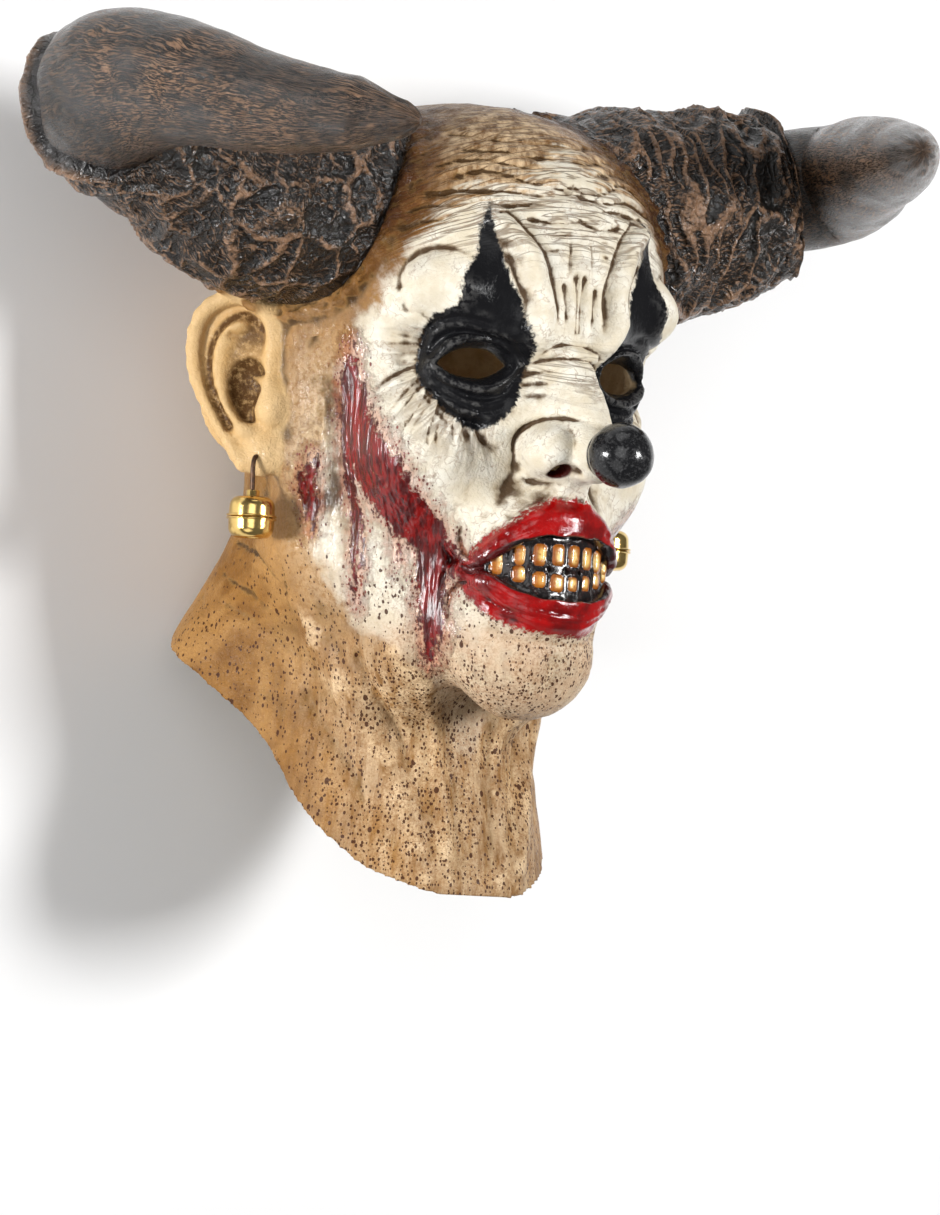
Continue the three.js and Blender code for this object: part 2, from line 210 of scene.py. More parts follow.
soft_light("left_light", -1180, -20, -920, 0.30, 21)
soft_light("right_light", 1300, 60, -760, 0.32, 22)
soft_light("rim_light", -1450, 150, 150, 0.24, 8)
soft_light("front_light", 0, 200, -1900, 1.0, 7)
soft_light("crown_light", 100, 1300, -500, 0.7, 2.4)
soft_light("chin_light", -420, -900, -1250, 0.9, 3.0)

world = bpy.data.worlds.new("studio")
world.use_nodes = True
plug(world.node_tree.nodes["Background"], {"Color": (1.0, 1.0, 1.0), "Strength": WORLD_LIGHT})
bpy.context.scene.world = world
bpy.context.scene.view_settings.view_transform = "Standard"
print("floor", FLOOR_HALF * 2, "m wide,", len(bpy.data.lights), "soft lights")

# %% [markdown]
# The skin is one casting with a wall of about 3 mm, and it has soft swellings, folds and deep
# creases that run into each other. It could be sculpted, but in code the easiest clay is a distance
# field: a number at every place that says how far the surface is, negative inside. Simple forms are
# blended by their numbers, and a mesh is taken from the zero level at the end.

# %% Clay: distances to simple forms
def length(*parts):
    return np.sqrt(sum(part * part for part in parts))


def ellipsoid(p, centre, radii):
    x, y, z = ((p[k] - centre[k]) / radii[k] for k in range(3))
    near = length(x, y, z)
    return near * (near - 1) / np.maximum(length(x / radii[0], y / radii[1], z / radii[2]), 1e-6)


def capsule(p, a, b, radius_a, radius_b):
    d = [b[k] - a[k] for k in range(3)]
    q = [p[k] - a[k] for k in range(3)]
    t = np.clip((q[0] * d[0] + q[1] * d[1] + q[2] * d[2]) / (d[0] ** 2 + d[1] ** 2 + d[2] ** 2), 0, 1)
    return length(q[0] - t * d[0], q[1] - t * d[1], q[2] - t * d[2]) - (radius_a + (radius_b - radius_a) * t)


def blend(a, b, reach):
    """joins two forms with a fillet of about this reach"""
    h = np.clip(0.5 + 0.5 * (b - a) / reach, 0, 1)
    return b + (a - b) * h - reach * h * (1 - h)


def carve(a, b, reach):
    """takes form b out of form a, with a rounded edge"""
    return -blend(-a, b, reach)


def chain(p, points, radii, reach=1.0):
    """a rope of clay along some points"""
    rope = capsule(p, points[0], points[1], radii[0], radii[1])
    for k in range(1, len(points) - 1):
        rope = blend(rope, capsule(p, points[k], points[k + 1], radii[k], radii[k + 1]), reach)
    return rope


def ramp(values, start, end):
    """0 up to start, 1 from end on, straight in between"""
    return np.clip((values - start) / (end - start), 0, 1)


def mirrored(p):
    """places brought over to the mask's left, so that one form serves both sides"""
    return (np.abs(p[0]), p[1], p[2])


def eased(t, a, b, slope_a, slope_b):
    """the cubic step from a to b that starts and ends with these slopes"""
    return ((2 * t ** 3 - 3 * t ** 2 + 1) * a + (t ** 3 - 2 * t ** 2 + t) * slope_a
            + (3 * t ** 2 - 2 * t ** 3) * b + (t ** 3 - t ** 2) * slope_b)


def smooth_path(points, count, closed=False):
    """evenly spread places on a smooth line through some points"""
    points = np.asarray(points, float)
    last = len(points) if closed else len(points) - 1
    made = []
    for place in np.linspace(0, last, count, endpoint=not closed):
        k = min(int(place), last - 1)
        t = place - k
        near = [points[(k + j) % len(points)] if closed else points[min(max(k + j, 0), len(points) - 1)]
                for j in (-1, 0, 1, 2)]
        made.append(eased(t, near[1], near[2], (near[2] - near[0]) / 2, (near[3] - near[1]) / 2))
    return np.array(made)


print("clay tools ready")

# %% [markdown]
# The head is blended from a skull, forehead, cheeks, jaw and chin, and the neck is a stack of level
# ovals that flares over the shoulders. These forms carry the same sizes as the CAD solid.

# %% Head and neck
WALL = 3.2
REST_PLANE = 102.0
# places from the throat back to the nape, and how high the neck is cut off at each of them
NECK_EDGE = ((-110, -42, -26, 5, 28, 51, 76, 100, 160),
             (-202, -201, -192, -166, -142, -121, -109, -104, -102))


def head_form(p):
    m = [np.sqrt(p[0] * p[0] + 0.5), p[1], p[2]]
    f = ellipsoid(p, (0, 8, 25), (78, 97, 81))                              # skull
    f = blend(f, ellipsoid(p, (0, -30, 48), (66, 56, 50)), 18)              # forehead
    f = blend(f, ellipsoid(p, (0, -20, -42), (58, 56, 68)), 26)             # middle of the face
    f = blend(f, ellipsoid(m, (38, -49, -32), (22, 21, 26)), 16)            # cheeks
    f = blend(f, ellipsoid(p, (0, -65, -108), (19, 20, 24)), 20)            # chin
    f = blend(f, capsule(m, (12, -66, -108), (50, 6, -70), 12, 16), 26)     # jaw line
    f = blend(f, ellipsoid(p, (0, -70, -74), (30, 29, 31)), 14)             # muzzle
    f = blend(f, capsule(m, (10, -78, 16), (46, -60, 22), 10, 10), 12)      # brow
    f = blend(f, ellipsoid(p, (0, -82, -26), (15, 20, 27)), 10)             # root of the nose
    return carve(f, ellipsoid(m, (33, -80, -1), (16, 11, 10)), 8)           # eye sockets


def level_oval(p, middle, half_width, half_depth):
    y = p[1] - middle
    near = length(p[0] / half_width, y / half_depth)
    return near * (near - 1) / np.maximum(length(p[0] / half_width ** 2, y / half_depth ** 2), 1e-6)


def neck_form(p):
    """two stacks of ovals, each given as middle, half width and half depth at some heights"""
    z = p[2]
    throat = level_oval(p, *(np.interp(z, (-205, -130), row) for row in ((10, 20), (60, 53), (55, 50))))
    nape_rows = ((76, 60, 42, 30), (84, 73, 55, 52), (53, 50, 46, 48))
    nape = level_oval(p, *(np.interp(z, (-150, -105, -60, -20), row) for row in nape_rows))
    return carve(blend(throat, nape * 0.9, 25), -(z + 20), 15)


def body_form(p):
    return blend(head_form(p), neck_form(p), 24)


def face_front(x, z):
    """how far forward the bare face stands at a place seen from the front"""
    x, z = np.asarray(x, float), np.asarray(z, float)
    near, far = np.full(x.shape, -140.0), np.full(x.shape, 0.0)
    for step in range(30):
        middle = (near + far) / 2
        outside = body_form((x, middle, z)) > 0
        near, far = np.where(outside, middle, near), np.where(outside, far, middle)
    return near


print("bridge of the nose stands at", np.round(face_front(0, 0), 1), "mm")

# %% [markdown]
# The whole head is laid out on a block of places, close together over the face and ears, where the
# detail is, and further apart behind. Small forms are joined inside their own box only.

# %% Block of clay
def spread(*spans):
    """places along one axis, given as (start, end, step) spans"""
    parts = [np.arange(start, end, step) for start, end, step in spans]
    return np.append(np.concatenate(parts), spans[-1][1]).astype(np.float32)


FINE = 1.0
AXES = (spread((-106, -60, 1.1 * FINE), (-60, 60, 0.8 * FINE), (60, 106, 1.1 * FINE)),
        spread((-138, -50, 0.9 * FINE), (-50, 30, 1.25 * FINE), (30, 106, 1.6 * FINE)),
        spread((-208, -132, 1.4 * FINE), (-132, -98, 1.1 * FINE), (-98, 66, 0.8 * FINE),
               (66, 110, 1.2 * FINE)))


def as_block(axes):
    """three arrays that together span a block of places"""
    return (axes[0][:, None, None], axes[1][None, :, None], axes[2][None, None, :])


BLOCK = as_block(AXES)
body = body_form(BLOCK).astype(np.float32)
outside = body.copy()
print("block of", body.shape, "places")


def box_of(low, high):
    """the part of the block from low to high, as slices and as places"""
    cut = tuple(slice(*np.searchsorted(axis, (a, b))) for axis, a, b in zip(AXES, low, high))
    return cut, as_block([axis[part] for axis, part in zip(AXES, cut)])


def side_box(side, low, high):
    """a box on the mask's left, given by its corners, or its mirror image on the right"""
    return (low, high) if side > 0 else ((-high[0], *low[1:]), (-low[0], *high[1:]))


def stamp(field, low, high, form, join):
    """joins a small form to the field, inside the box from low to high"""
    cut, p = box_of(low, high)
    field[cut] = join(field[cut], form(p))


def joined(reach):
    return lambda a, b: blend(a, b, reach)


def carved(reach):
    return lambda a, b: carve(a, b, reach)


# %% [markdown]
# The ears are modelled flat and turned out from the head afterwards, as a caster would add them.
# Each one has a rolled rim, an inner ridge, a deep bowl, the small flap in front of it and a lobe.

# %% Ears
SIDES = {"right": -1, "left": 1}
EAR_PLACE = (83, 8, -11)
EAR_TURN = radians(58)
EAR_LEAN = 0.06
EAR_RIM = ((-9, 2), (-10, 14), (-9.4, 24), (-3, 31.8), (6, 34), (15.5, 31), (22.3, 23.5), (23.8, 12),
           (21.7, 2), (16.5, -8), (11, -16), (6, -23), (1, -30))
EAR_RIM_RADII = (2.4, 2.9, 3.2, 3.3, 3.3, 3.3, 3.2, 3.1, 3.0, 3.0, 3.0, 3.2, 3.5)
EAR_RIDGE = ((4, 24), (10, 18), (13, 9), (11, -2), (6, -11), (0, -17))
EAR_GROOVE = ((-5, 21), (2, 26.5), (10, 24), (15.5, 17), (17, 9), (16, 0), (11.5, -9), (7, -16))
EAR_BOWL = (0, -3.5, 0)
EAR_LOBE = (-6, 0, -25)


def ear_axes(side):
    """places in the ear's own axes: x back along the ear, y towards the head, z up"""
    def convert(p):
        x, y, z = p[0] - side * EAR_PLACE[0], p[1] - EAR_PLACE[1], p[2] - EAR_PLACE[2]
        along = side * (x * cos(EAR_TURN) + side * y * sin(EAR_TURN))
        deep = -side * x * sin(EAR_TURN) + y * cos(EAR_TURN)
        return (along, deep * cos(EAR_LEAN) + z * sin(EAR_LEAN), z * cos(EAR_LEAN) - deep * sin(EAR_LEAN))
    return convert


def ear_form(p):
    plate = ellipsoid(p, (6, 2.5, 4), (18, 4.0, 30))
    rim_points = smooth_path([(x, -1.5, z) for x, z in EAR_RIM], 22)
    rim_radii = np.interp(np.linspace(0, 1, 22), np.linspace(0, 1, len(EAR_RIM_RADII)), EAR_RIM_RADII)
    ridge_points = smooth_path([(x, -1.0, z) for x, z in EAR_RIDGE], 10)
    f = blend(plate, chain(p, ridge_points, [3.2] * 10), 3)
    f = blend(f, chain(p, rim_points, rim_radii), 2.0)
    f = blend(f, ellipsoid(p, (-4, 8, 0), (9, 10, 22)), 5)                  # root, against the head
    f = carve(f, ellipsoid(p, EAR_BOWL, (8.5, 7.5, 11)), 2)
    f = carve(f, capsule(p, (2, -3, -6), (-3, -2, -17), 4.5, 2.5), 2)       # bowl runs down to the notch
    f = carve(f, chain(p, smooth_path([(x, -3.2, z) for x, z in EAR_GROOVE], 14), [1.9] * 14), 1.2)
    f = carve(f, capsule(p, (-5, -4, 17), (7, -3.2, 19), 2.0, 1.6), 1.5)    # slot in the upper hollow
    f = blend(f, capsule(p, (-9, -2, 1), (-2, 0, 3), 2.2, 1.2), 2)          # rim runs into the bowl
    f = blend(f, ellipsoid(p, (-11, -1, -8), (6, 6, 8)), 5)                 # flap in front
    f = blend(f, ellipsoid(p, (0, -2.5, -17.5), (4, 3.5, 3)), 2.5)          # knob opposite the flap
    return blend(f, ellipsoid(p, EAR_LOBE, (9, 4.6, 10)), 3)


def ear_pad(p, side):
    """swelling of the cheek in front of the ear, so that the ear grows out of it"""
    return capsule(p, (side * 64, -4, 14), (side * 65, -2, -38), 8.5, 7.5)


def jaw_fill(p):
    """flesh under the jaw line, where the cheek runs into the neck"""
    return ellipsoid(mirrored(p), (27, -22, -112), (18, 20, 20))


stamp(outside, (-80, -90, -160), (80, 30, -70), jaw_fill, joined(16))
for side in SIDES.values():
    box = side_box(side, (44, -40, -70), (106, 40, 44))
    stamp(outside, *box, lambda p: ear_pad(p, side), joined(20))
    stamp(outside, *box, lambda p: ear_form(ear_axes(side)(p)), joined(4))
print("ears joined")

# %% [markdown]
# The nose has a narrow creased bridge, two round wings and deep nostrils. The black ball is part of
# the same casting, and sits on the tip.

# %% Nose
BALL = (0, -123, -34)
BALL_RADIUS = 12.3
NOSTRIL_X = 11.0


def nose_form(p):
    ridge = smooth_path([(0, -66, 22), (0, -81, 5), (0, -93, -14), (0, -107, -33)], 7)
    f = chain(p, ridge, np.interp(np.linspace(0, 1, 7), (0, 0.4, 1), (7, 8.5, 11)))
    f = blend(f, ellipsoid(mirrored(p), (12.5, -93.5, -32), (9.2, 14, 9.8)), 2)
    return blend(f, ellipsoid(p, (0, -95, -34.5), (9, 19, 7.5)), 4)


def nostril_form(p):
    return capsule(mirrored(p), (NOSTRIL_X, -106, -43.5), (NOSTRIL_X - 1, -76, -30), 3.6, 3.0)


def nostril_hollow(p):
    return ellipsoid(mirrored(p), (NOSTRIL_X, -104, -41.5), (5.6, 7.5, 3.8))


def ball_form(p):
    return length(p[0] - BALL[0], p[1] - BALL[1], p[2] - BALL[2]) - BALL_RADIUS


stamp(outside, (-30, -138, -60), (30, -40, 34), nose_form, joined(6))
stamp(outside, (-30, -138, -60), (30, -40, 10), nostril_hollow, carved(1.0))
stamp(outside, (-16, -138, -50), (16, -104, -16), ball_form, joined(0.6))
print("nose joined")

# %% [markdown]
# The lips are two thick ropes along the opening, and behind them lies a black hollow. The teeth that
# stand in it need finer clay, so they are modelled as a piece of their own further down.

# %% Mouth
UPPER_LIP = ((33, -77.6), (28, -72.6), (22, -66.0), (13, -59.6), (5.5, -57.2), (0, -58.4))
UPPER_LIP_RADII = (2.0, 2.9, 3.7, 5.0, 6.0, 5.4)
LOWER_LIP = ((33, -79), (27, -82.8), (21.5, -87.4), (15, -91.4), (8, -94), (0, -94.4))
LOWER_LIP_RADII = (2.0, 3.2, 4.0, 4.6, 5.2, 5.4)


def lip_form(p, line, radii):
    full = [(-x, z) for x, z in line[:-1]] + list(line[::-1])
    full_radii = list(radii[:-1]) + list(radii[::-1])
    places = smooth_path(full, 25)
    sizes = np.interp(np.linspace(0, 1, 25), np.linspace(0, 1, len(full)), full_radii)
    depth = face_front(places[:, 0], places[:, 1]) + 0.5 * sizes + 0.9
    return chain(p, [(x, y, z) for (x, z), y in zip(places, depth)], sizes, 1.5)


def mouth_opening(p):
    """the hollow behind the lips, which follows the bend of the face"""
    half = ((0, -75.8, 12.4), (9, -75.8, 12.0), (17, -75.8, 10.0), (23, -76, 6.4), (27.5, -76.8, 2.8),
            (31, -78, 0.8))
    line = [(-x, z, r) for x, z, r in half[:0:-1]] + list(half)
    x, z, r = np.array(line).T
    y = face_front(x, z) + 0.55 * r + 1.0
    return chain(p, list(zip(x, y, z)), r, 2.0)


MOUTH_LOW, MOUTH_HIGH = (-44, -118, -108), (44, -50, -44)
stamp(outside, MOUTH_LOW, MOUTH_HIGH, mouth_opening, carved(1.5))
stamp(outside, MOUTH_LOW, MOUTH_HIGH, lambda p: lip_form(p, UPPER_LIP, UPPER_LIP_RADII), joined(2.5))
stamp(outside, MOUTH_LOW, MOUTH_HIGH, lambda p: lip_form(p, LOWER_LIP, LOWER_LIP_RADII), joined(2.5))
print("mouth joined")

# %% [markdown]
# Wrinkles are easiest to place on the unrolled head: "round" is the way round from the middle of
# the face and "height" is the height above the eyes, both in millimetres. Each stroke is a smooth
# line that pushes the clay in or pulls it out, strongest on the line and fading to its ends.

# %% Wrinkles and folds
ROUND_RADIUS = 85.0
ROUND_AXIS_Y = 5.0

NECK_CORD = ((125, -104), (102, -128), (75, -150), (55, -170), (38, -192))
THROAT_CORD = ((60, -112), (40, -130), (28, -150), (22, -195))

# (line as round and height, width, depth pressed in; a negative depth is pulled out)
STROKES = (
    # round swelling over the outer brow, with the crease round it
    (((56, 27), (51, 29), (46, 28)), 10.0, -5.4),
    (((65, 22), (65, 29), (62, 35), (56, 39), (48, 40.5), (39, 38)), 2.4, 1.9),
    (((65, 22), (62, 17), (56, 15)), 1.4, 1.2),
    # thick S-shaped roll on each side of the frown
    (((31, 54), (24, 48), (19, 38), (16, 27), (15, 16), (13, 9)), 4.6, -4.4),
    (((15, 17), (14.5, 13)), 5.2, -1.6),
    (((33, 55), (27, 57), (22, 53), (17, 46), (13, 38), (11, 30), (9.5, 20), (9, 10)), 1.5, 2.4),
    (((29, 42), (25, 35), (22, 25), (21, 16)), 1.5, 1.8),
    # frown lines
    (((7, 33), (5.4, 20), (5.2, 5)), 1.3, 1.7),
    (((2.0, 37), (0.6, 22), (1.2, 7)), 1.2, 1.5),
    (((4, 50), (4.6, 39), (3.8, 27)), 1.3, 1.1),
    # folds over the bridge of the nose
    (((14, 3), (9, 6.5), (4, 8), (0, 8)), 1.5, 1.9),
    (((15, 0), (9, 2.2), (0, 3)), 1.3, 1.4),
    (((9, 5), (0, 5.6)), 2.2, -1.2),
    (((18, -4), (12, -3), (5, -1.5)), 1.2, 1.0),
    (((18, -8), (11, -7), (4, -6)), 1.2, 0.8),
    (((18, -12), (12, -12), (6, -11)), 1.1, 0.6),
    # eyelids and bags under the eye
    (((53, -2), (50, 5), (43, 9.5), (33, 10.5), (23, 7.5), (18, 1)), 1.5, 1.9),
    (((57, 4), (52, 11), (44, 15), (34, 15), (25, 12)), 1.4, 1.2),
    (((51, -7), (44, -11), (34, -13), (24, -11.5), (19, -7)), 1.5, 1.8),
    (((52, -10), (46, -14.5), (37, -17.5), (28, -17.5), (20, -13)), 1.4, 1.6),
    (((55, -10), (48, -17), (40, -21.5), (31, -22.5), (22, -19)), 1.4, 1.3),
    (((58, -11), (50, -20), (42, -26), (32, -28)), 1.3, 0.9),
    # long lines of the forehead
    (((67, 47), (57, 50), (48, 51), (41, 51)), 1.3, 1.7),
    (((64, 54), (54, 56.5), (46, 57.5), (38, 59)), 1.3, 1.6),
    (((60, 60), (45, 63), (29, 65), (16, 64), (8, 64.5), (0, 66)), 1.4, 2.1),
    (((37, 60), (27, 59.5), (14, 61), (5, 62)), 1.4, 2.0),
    (((21, 55), (10, 53.5), (0, 55)), 1.3, 1.6),
    (((15, 48), (6, 49), (0, 50)), 1.2, 0.9),
    (((15, 42), (10, 43), (6.5, 43.5)), 1.2, 1.0),
    (((50, 67), (37, 72), (28, 72), (19, 69), (7, 67), (0, 69)), 1.3, 1.8),
    (((57, 71), (46, 75), (33, 77), (20, 75), (5, 75)), 1.3, 1.6),
    (((48, 80), (30, 81), (12, 79), (0, 80)), 1.2, 1.3),
    (((54, 86), (30, 86), (0, 85)), 1.2, 1.2),
    # from the nose to the corner of the mouth, and under the lip
    (((16.5, -34), (17, -40), (18.5, -46), (22, -52), (27, -58)), 2.6, 0.7),
    (((23, -38), (28, -48), (35, -58), (42, -67)), 6.5, -1.0),
    (((3, -23), (8, -20.5), (12.5, -21.5), (16.5, -26), (17.5, -34), (16, -41)), 1.8, 2.3),
    (((15, -42), (10, -44.5), (4, -44)), 1.4, 1.0),
    (((38, -72), (41, -80), (41, -90)), 1.5, 1.5),
    (((31, -76), (35, -70), (37, -62), (36, -56)), 1.2, 1.4),
    (((32, -78), (38, -75), (43, -70), (46, -64)), 1.3, 1.4),
    (((31, -80), (36, -86), (37, -95), (35, -103)), 1.3, 1.3),
    (((28, -79), (34, -79), (39, -77)), 1.2, 1.3),
    # lengthwise folds of the lips
    (((26, -84), (19, -89.2), (10, -92.4), (0, -93.5)), 0.9, 0.9),
    (((27, -87), (18, -92.5), (9, -95.8), (0, -96.6)), 0.9, 1.0),
    (((24, -92), (17, -96), (9, -98.8)), 0.9, 0.8),
    (((27, -70), (21, -65.4), (13, -61.6), (6, -60.4)), 0.9, 0.8),
    (((26, -67), (20, -62.4), (14, -58.8)), 0.9, 0.7),
    (((26, -98), (15, -103.5), (0, -104.5)), 3.0, 1.6),
    (((7, -51), (3.5, -46)), 1.6, -0.8),
    (((0, -107), (1, -116), (0, -122)), 2.2, 1.3),
    # cords of the neck and the hollows between them
    (((91, -109), (80, -123), (67, -136), (57, -148), (47, -160)), 3.5, 2.4),
    (((138, -126), (112, -144), (90, -160), (75, -176)), 4.5, 1.7),
    (((25, -134), (18, -160), (14, -196)), 4.5, 1.4),
    (THROAT_CORD, 8.0, -2.2),
    (NECK_CORD, 8.5, -2.6),
    (((189, -68), (155, -77), (133, -88)), 1.6, 0.9),
    (((190, -80), (170, -88), (152, -97)), 1.6, 1.0),
    (((180, -92), (166, -100), (158, -106)), 1.5, 0.9),
    (((196, -88), (182, -100), (170, -108)), 1.6, 0.8),
    (((148, -58), (134, -78), (140, -98)), 1.6, 0.9),
)


def eye_fan():
    """folds that run out from the eye patch: level at the outer corner, straight down under the eye"""
    rng = np.random.default_rng(5)
    fan = []
    for turn in np.linspace(0.72, -1.75, 20):
        turn += rng.uniform(-0.04, 0.04)
        reach = 33 + 10 * np.exp(-((turn + 0.5) / 0.7) ** 2) + rng.uniform(-3, 3)
        bend = -0.20 + 0.14 * turn
        line = [(36 + r * cos(turn + bend * (r - 20) / 20), -2 + r * sin(turn + bend * (r - 20) / 20))
                for r in np.linspace(17, reach, 4)]
        fan.append((line, rng.uniform(1.6, 2.2), rng.uniform(1.6, 2.5)))
    return fan


def unrolled(x, y, z):
    """round, height, with the two halves of the face a little different"""
    around = ROUND_RADIUS * np.arctan2(np.abs(x), -(y - ROUND_AXIS_Y))
    aside = np.clip(around / 20, 0, 1)
    wander = 0.8 * np.sin(0.13 * z + 2.0 * np.sign(x)) + 0.5 * np.sin(0.31 * z - np.sign(x))
    return around + wander * aside, z + 0.7 * np.sin(0.12 * around + 1.7 * np.sign(x)) * aside


def line_distance(around, height, line):
    """distance to a line of straight pieces, and how far along it the nearest place is, 0 to 1"""
    best = np.full(around.shape, 1e9, np.float32)
    part = np.zeros(around.shape, np.float32)
    steps = np.hypot(*np.diff(line, axis=0).T)
    starts = np.append(0, np.cumsum(steps)) / steps.sum()
    for k in range(len(line) - 1):
        dx, dz = line[k + 1] - line[k]
        right, up = around - line[k][0], height - line[k][1]
        t = np.clip((right * dx + up * dz) / (dx * dx + dz * dz + 1e-9), 0, 1)
        away = np.hypot(right - t * dx, up - t * dz)
        nearer = away < best
        best = np.where(nearer, away, best)
        part = np.where(nearer, starts[k] + t * (starts[k + 1] - starts[k]), part)
    return best, part


def relief(x, y, z):
    """how much the strokes lift the surface, mm"""
    around, height = unrolled(x, y, z)
    lift = np.zeros(x.shape, np.float32)
    for line, width, depth in (*STROKES, *eye_fan()):
        line = smooth_path(line, 4 * len(line))
        low, high = line.min(axis=0) - 2.6 * width, line.max(axis=0) + 2.6 * width
        near = (around > low[0]) & (around < high[0]) & (height > low[1]) & (height < high[1])
        away, part = line_distance(around[near], height[near], line)
        full = np.hypot(*np.diff(line, axis=0).T).sum()
        fade = np.clip(part * full / 3.5, 0, 1)
        if line[-1][0] > 1:                                  # no fading where a line crosses the middle
            fade = fade * np.clip((1 - part) * full / min(14, 0.5 * full), 0, 1)
        if depth < 0:
            lift[near] -= depth * np.exp(-(away / width) ** 2)
        else:
            press = depth * (0.2 + 0.8 * fade) * fade ** 0.5
            lift[near] -= 1.15 * press * np.exp(0.3 - np.hypot(0.3, 1.25 * away / width))
    return lift


i, j, k = np.nonzero(np.abs(outside) < 9)
band = (AXES[0][i], AXES[1][j], AXES[2][k])
on_head = ramp(ball_form(band), 1, 3)                      # the ball stays smooth
outside[i, j, k] -= relief(*band) * on_head
print(len(STROKES), "strokes pressed into", len(i), "places")

# %% [markdown]
# Eyelids are a raised ring round each opening. The opening itself is an almond that is cut square
# through the skin, a little wider at the outer corner.

# %% Eye openings
EYE_X, EYE_Z = 33.0, -1.0
EYE_HALF_WIDTH = 14.0
EYE_TURN = 0.22


def eye_opening(p):
    """signed distance to the almond, seen along the cut"""
    m = np.abs(p[0]) - EYE_X
    across = m * cos(EYE_TURN) + (p[1] + 68) * sin(EYE_TURN)
    rise = p[2] - EYE_Z + 0.05 * across
    bow = 1 - np.abs(across / EYE_HALF_WIDTH) ** 2.6
    top, bottom = 6.4 * bow - 0.3, -5.4 * bow + 0.2
    return np.maximum(rise - top, bottom - rise) * 0.72


def eyelid(clay, opening):
    return clay - 2.4 * np.exp(-((opening - 2.6) / 2.3) ** 2)


stamp(outside, (-62, -100, -26), (62, -40, 24), eye_opening, eyelid)
print("eyelids raised round openings", 2 * EYE_HALF_WIDTH, "mm wide")

# %% [markdown]
# The skin stands up in a ragged lip round the foot of each horn. The horn's own centre line is
# needed for that, so the horns' sizes come here. The line through the points is the same kind of
# smooth curve as in the CAD.

# %% Horn centre lines
HORNS = {
    "left": {
        "path": ((30, -10, 62), (75, -12, 68), (112, -14, 77), (142, -18, 86), (164, -32, 92),
                 (152, -64, 94), (135, -106, 93), (110, -154, 91)),
        "sleeve": (41, 44, 39, 33), "sleeve_end": 3 / 7, "horn": (24.5, 24.5, 24, 22.5, 20, 17, 12),
        "seed": 11.3, "cells": (11.0, 36.0, 36.0), "bark": 4.6},
    "right": {
        "path": ((-30, -10, 56), (-75, -12, 60), (-110, -14, 66), (-138, -19, 76), (-172, -28, 87),
                 (-170, -62, 90), (-148, -104, 81), (-114, -148, 76)),
        "sleeve": (38, 41, 42, 35, 33), "sleeve_end": 4 / 7, "horn": (30.5, 29.5, 26, 22.5, 19.5, 16.8, 13.5),
        "seed": 3.7, "cells": (17.0, 24.0, 24.0), "bark": 3.6},
}


def centre_line(points, places):
    """a centripetal curve through the points, read at places from 0 to 1"""
    points = np.asarray(points, float)
    points = np.vstack([2 * points[0] - points[1], points, 2 * points[-1] - points[-2]])
    made = []
    for place in np.clip(places, 0, 1) * (len(points) - 3):
        k = min(int(place), len(points) - 4)
        near = points[k:k + 4]
        gap = np.sqrt(np.linalg.norm(np.diff(near, axis=0), axis=1))
        slope = [(near[n + 1] - near[n]) / gap[n] - (near[n + 2] - near[n]) / (gap[n] + gap[n + 1])
                 + (near[n + 2] - near[n + 1]) / gap[n + 1] for n in (0, 1)]
        slope = [s * gap[1] for s in slope]
        t = place - k
        made.append(eased(t, near[1], near[2], *slope))
    return np.array(made)


def horn_foot(p, horn):
    """distance to the sleeve near the head"""
    places = np.linspace(0, 0.3, 5)
    radii = np.interp(places, np.linspace(0, horn["sleeve_end"], len(horn["sleeve"])), horn["sleeve"])
    return chain(p, centre_line(horn["path"], places), radii, 4)


for side, horn in HORNS.items():
    cut, p = box_of(*side_box(SIDES[side], (20, -80, -20), (106, 70, 110)))
    ragged = 1.1 * np.sin(0.35 * p[1] + 0.4 * p[2]) + 0.8 * np.sin(0.8 * p[2] - 0.5 * p[1])
    ragged = ragged + 0.5 * np.sin(1.3 * p[1] + p[0])
    off_foot = np.abs(horn_foot(p, horn) - 2.4 - 0.5 * ragged) - 1.5
    outside[cut] = blend(outside[cut], np.maximum(outside[cut] - 1.5 - ragged, off_foot), 3)
print("lips raised round", len(HORNS), "horns")

# %% [markdown]
# The real skin is hollow. The inside is the plain head form moved in by the wall, which also keeps
# clear of the place where the teeth stand. The edge of the neck, the flat spot that the CAD rests on,
# the eye openings and the nostrils are cut last.

# %% Hollow out and cut
EDGE_WALL = 2.4
BEHIND_TEETH = ((0, -92, -73), (38, 20, 22))               # middle and half sizes, left solid
FAR_OUTSIDE = 9.0


def closed_off(field):
    """the same field, with nothing that touches the sides of its block"""
    for axis in range(3):
        for end in (0, -1):
            np.moveaxis(field, axis, 0)[end] = FAR_OUTSIDE
    return field


rest = BLOCK[1] * cos(REST_TILT) + BLOCK[2] * sin(REST_TILT) - REST_PLANE
neck_edge = (np.interp(BLOCK[1], *NECK_EDGE) - BLOCK[2]) * 0.8
wall = np.interp(-neck_edge, (0, 30), (EDGE_WALL, WALL)).astype(np.float32)
sunk = np.clip(outside - body, 0, 6)                      # the inside follows the deep folds
hollow = carve(body + wall + sunk, ellipsoid(BLOCK, *BEHIND_TEETH), 6)
hollow = np.maximum(hollow, rest + WALL)
shell = np.maximum(outside, -hollow)
shell = np.maximum(np.maximum(shell, neck_edge), rest).astype(np.float32)
stamp(shell, (-60, -130, -22), (60, -36, 22), eye_opening, carved(1.2))
stamp(shell, (-30, -130, -60), (30, -50, -10), nostril_form, carved(1.0))
shell = closed_off(shell)
print("hollowed; wall", WALL, "mm,", EDGE_WALL, "mm at the neck edge")

# %% [markdown]
# Surface nets turn the numbers into a mesh: every small cell that the surface passes through gets
# one point, in the middle of its crossings, and every crossed edge of the block gets one face.

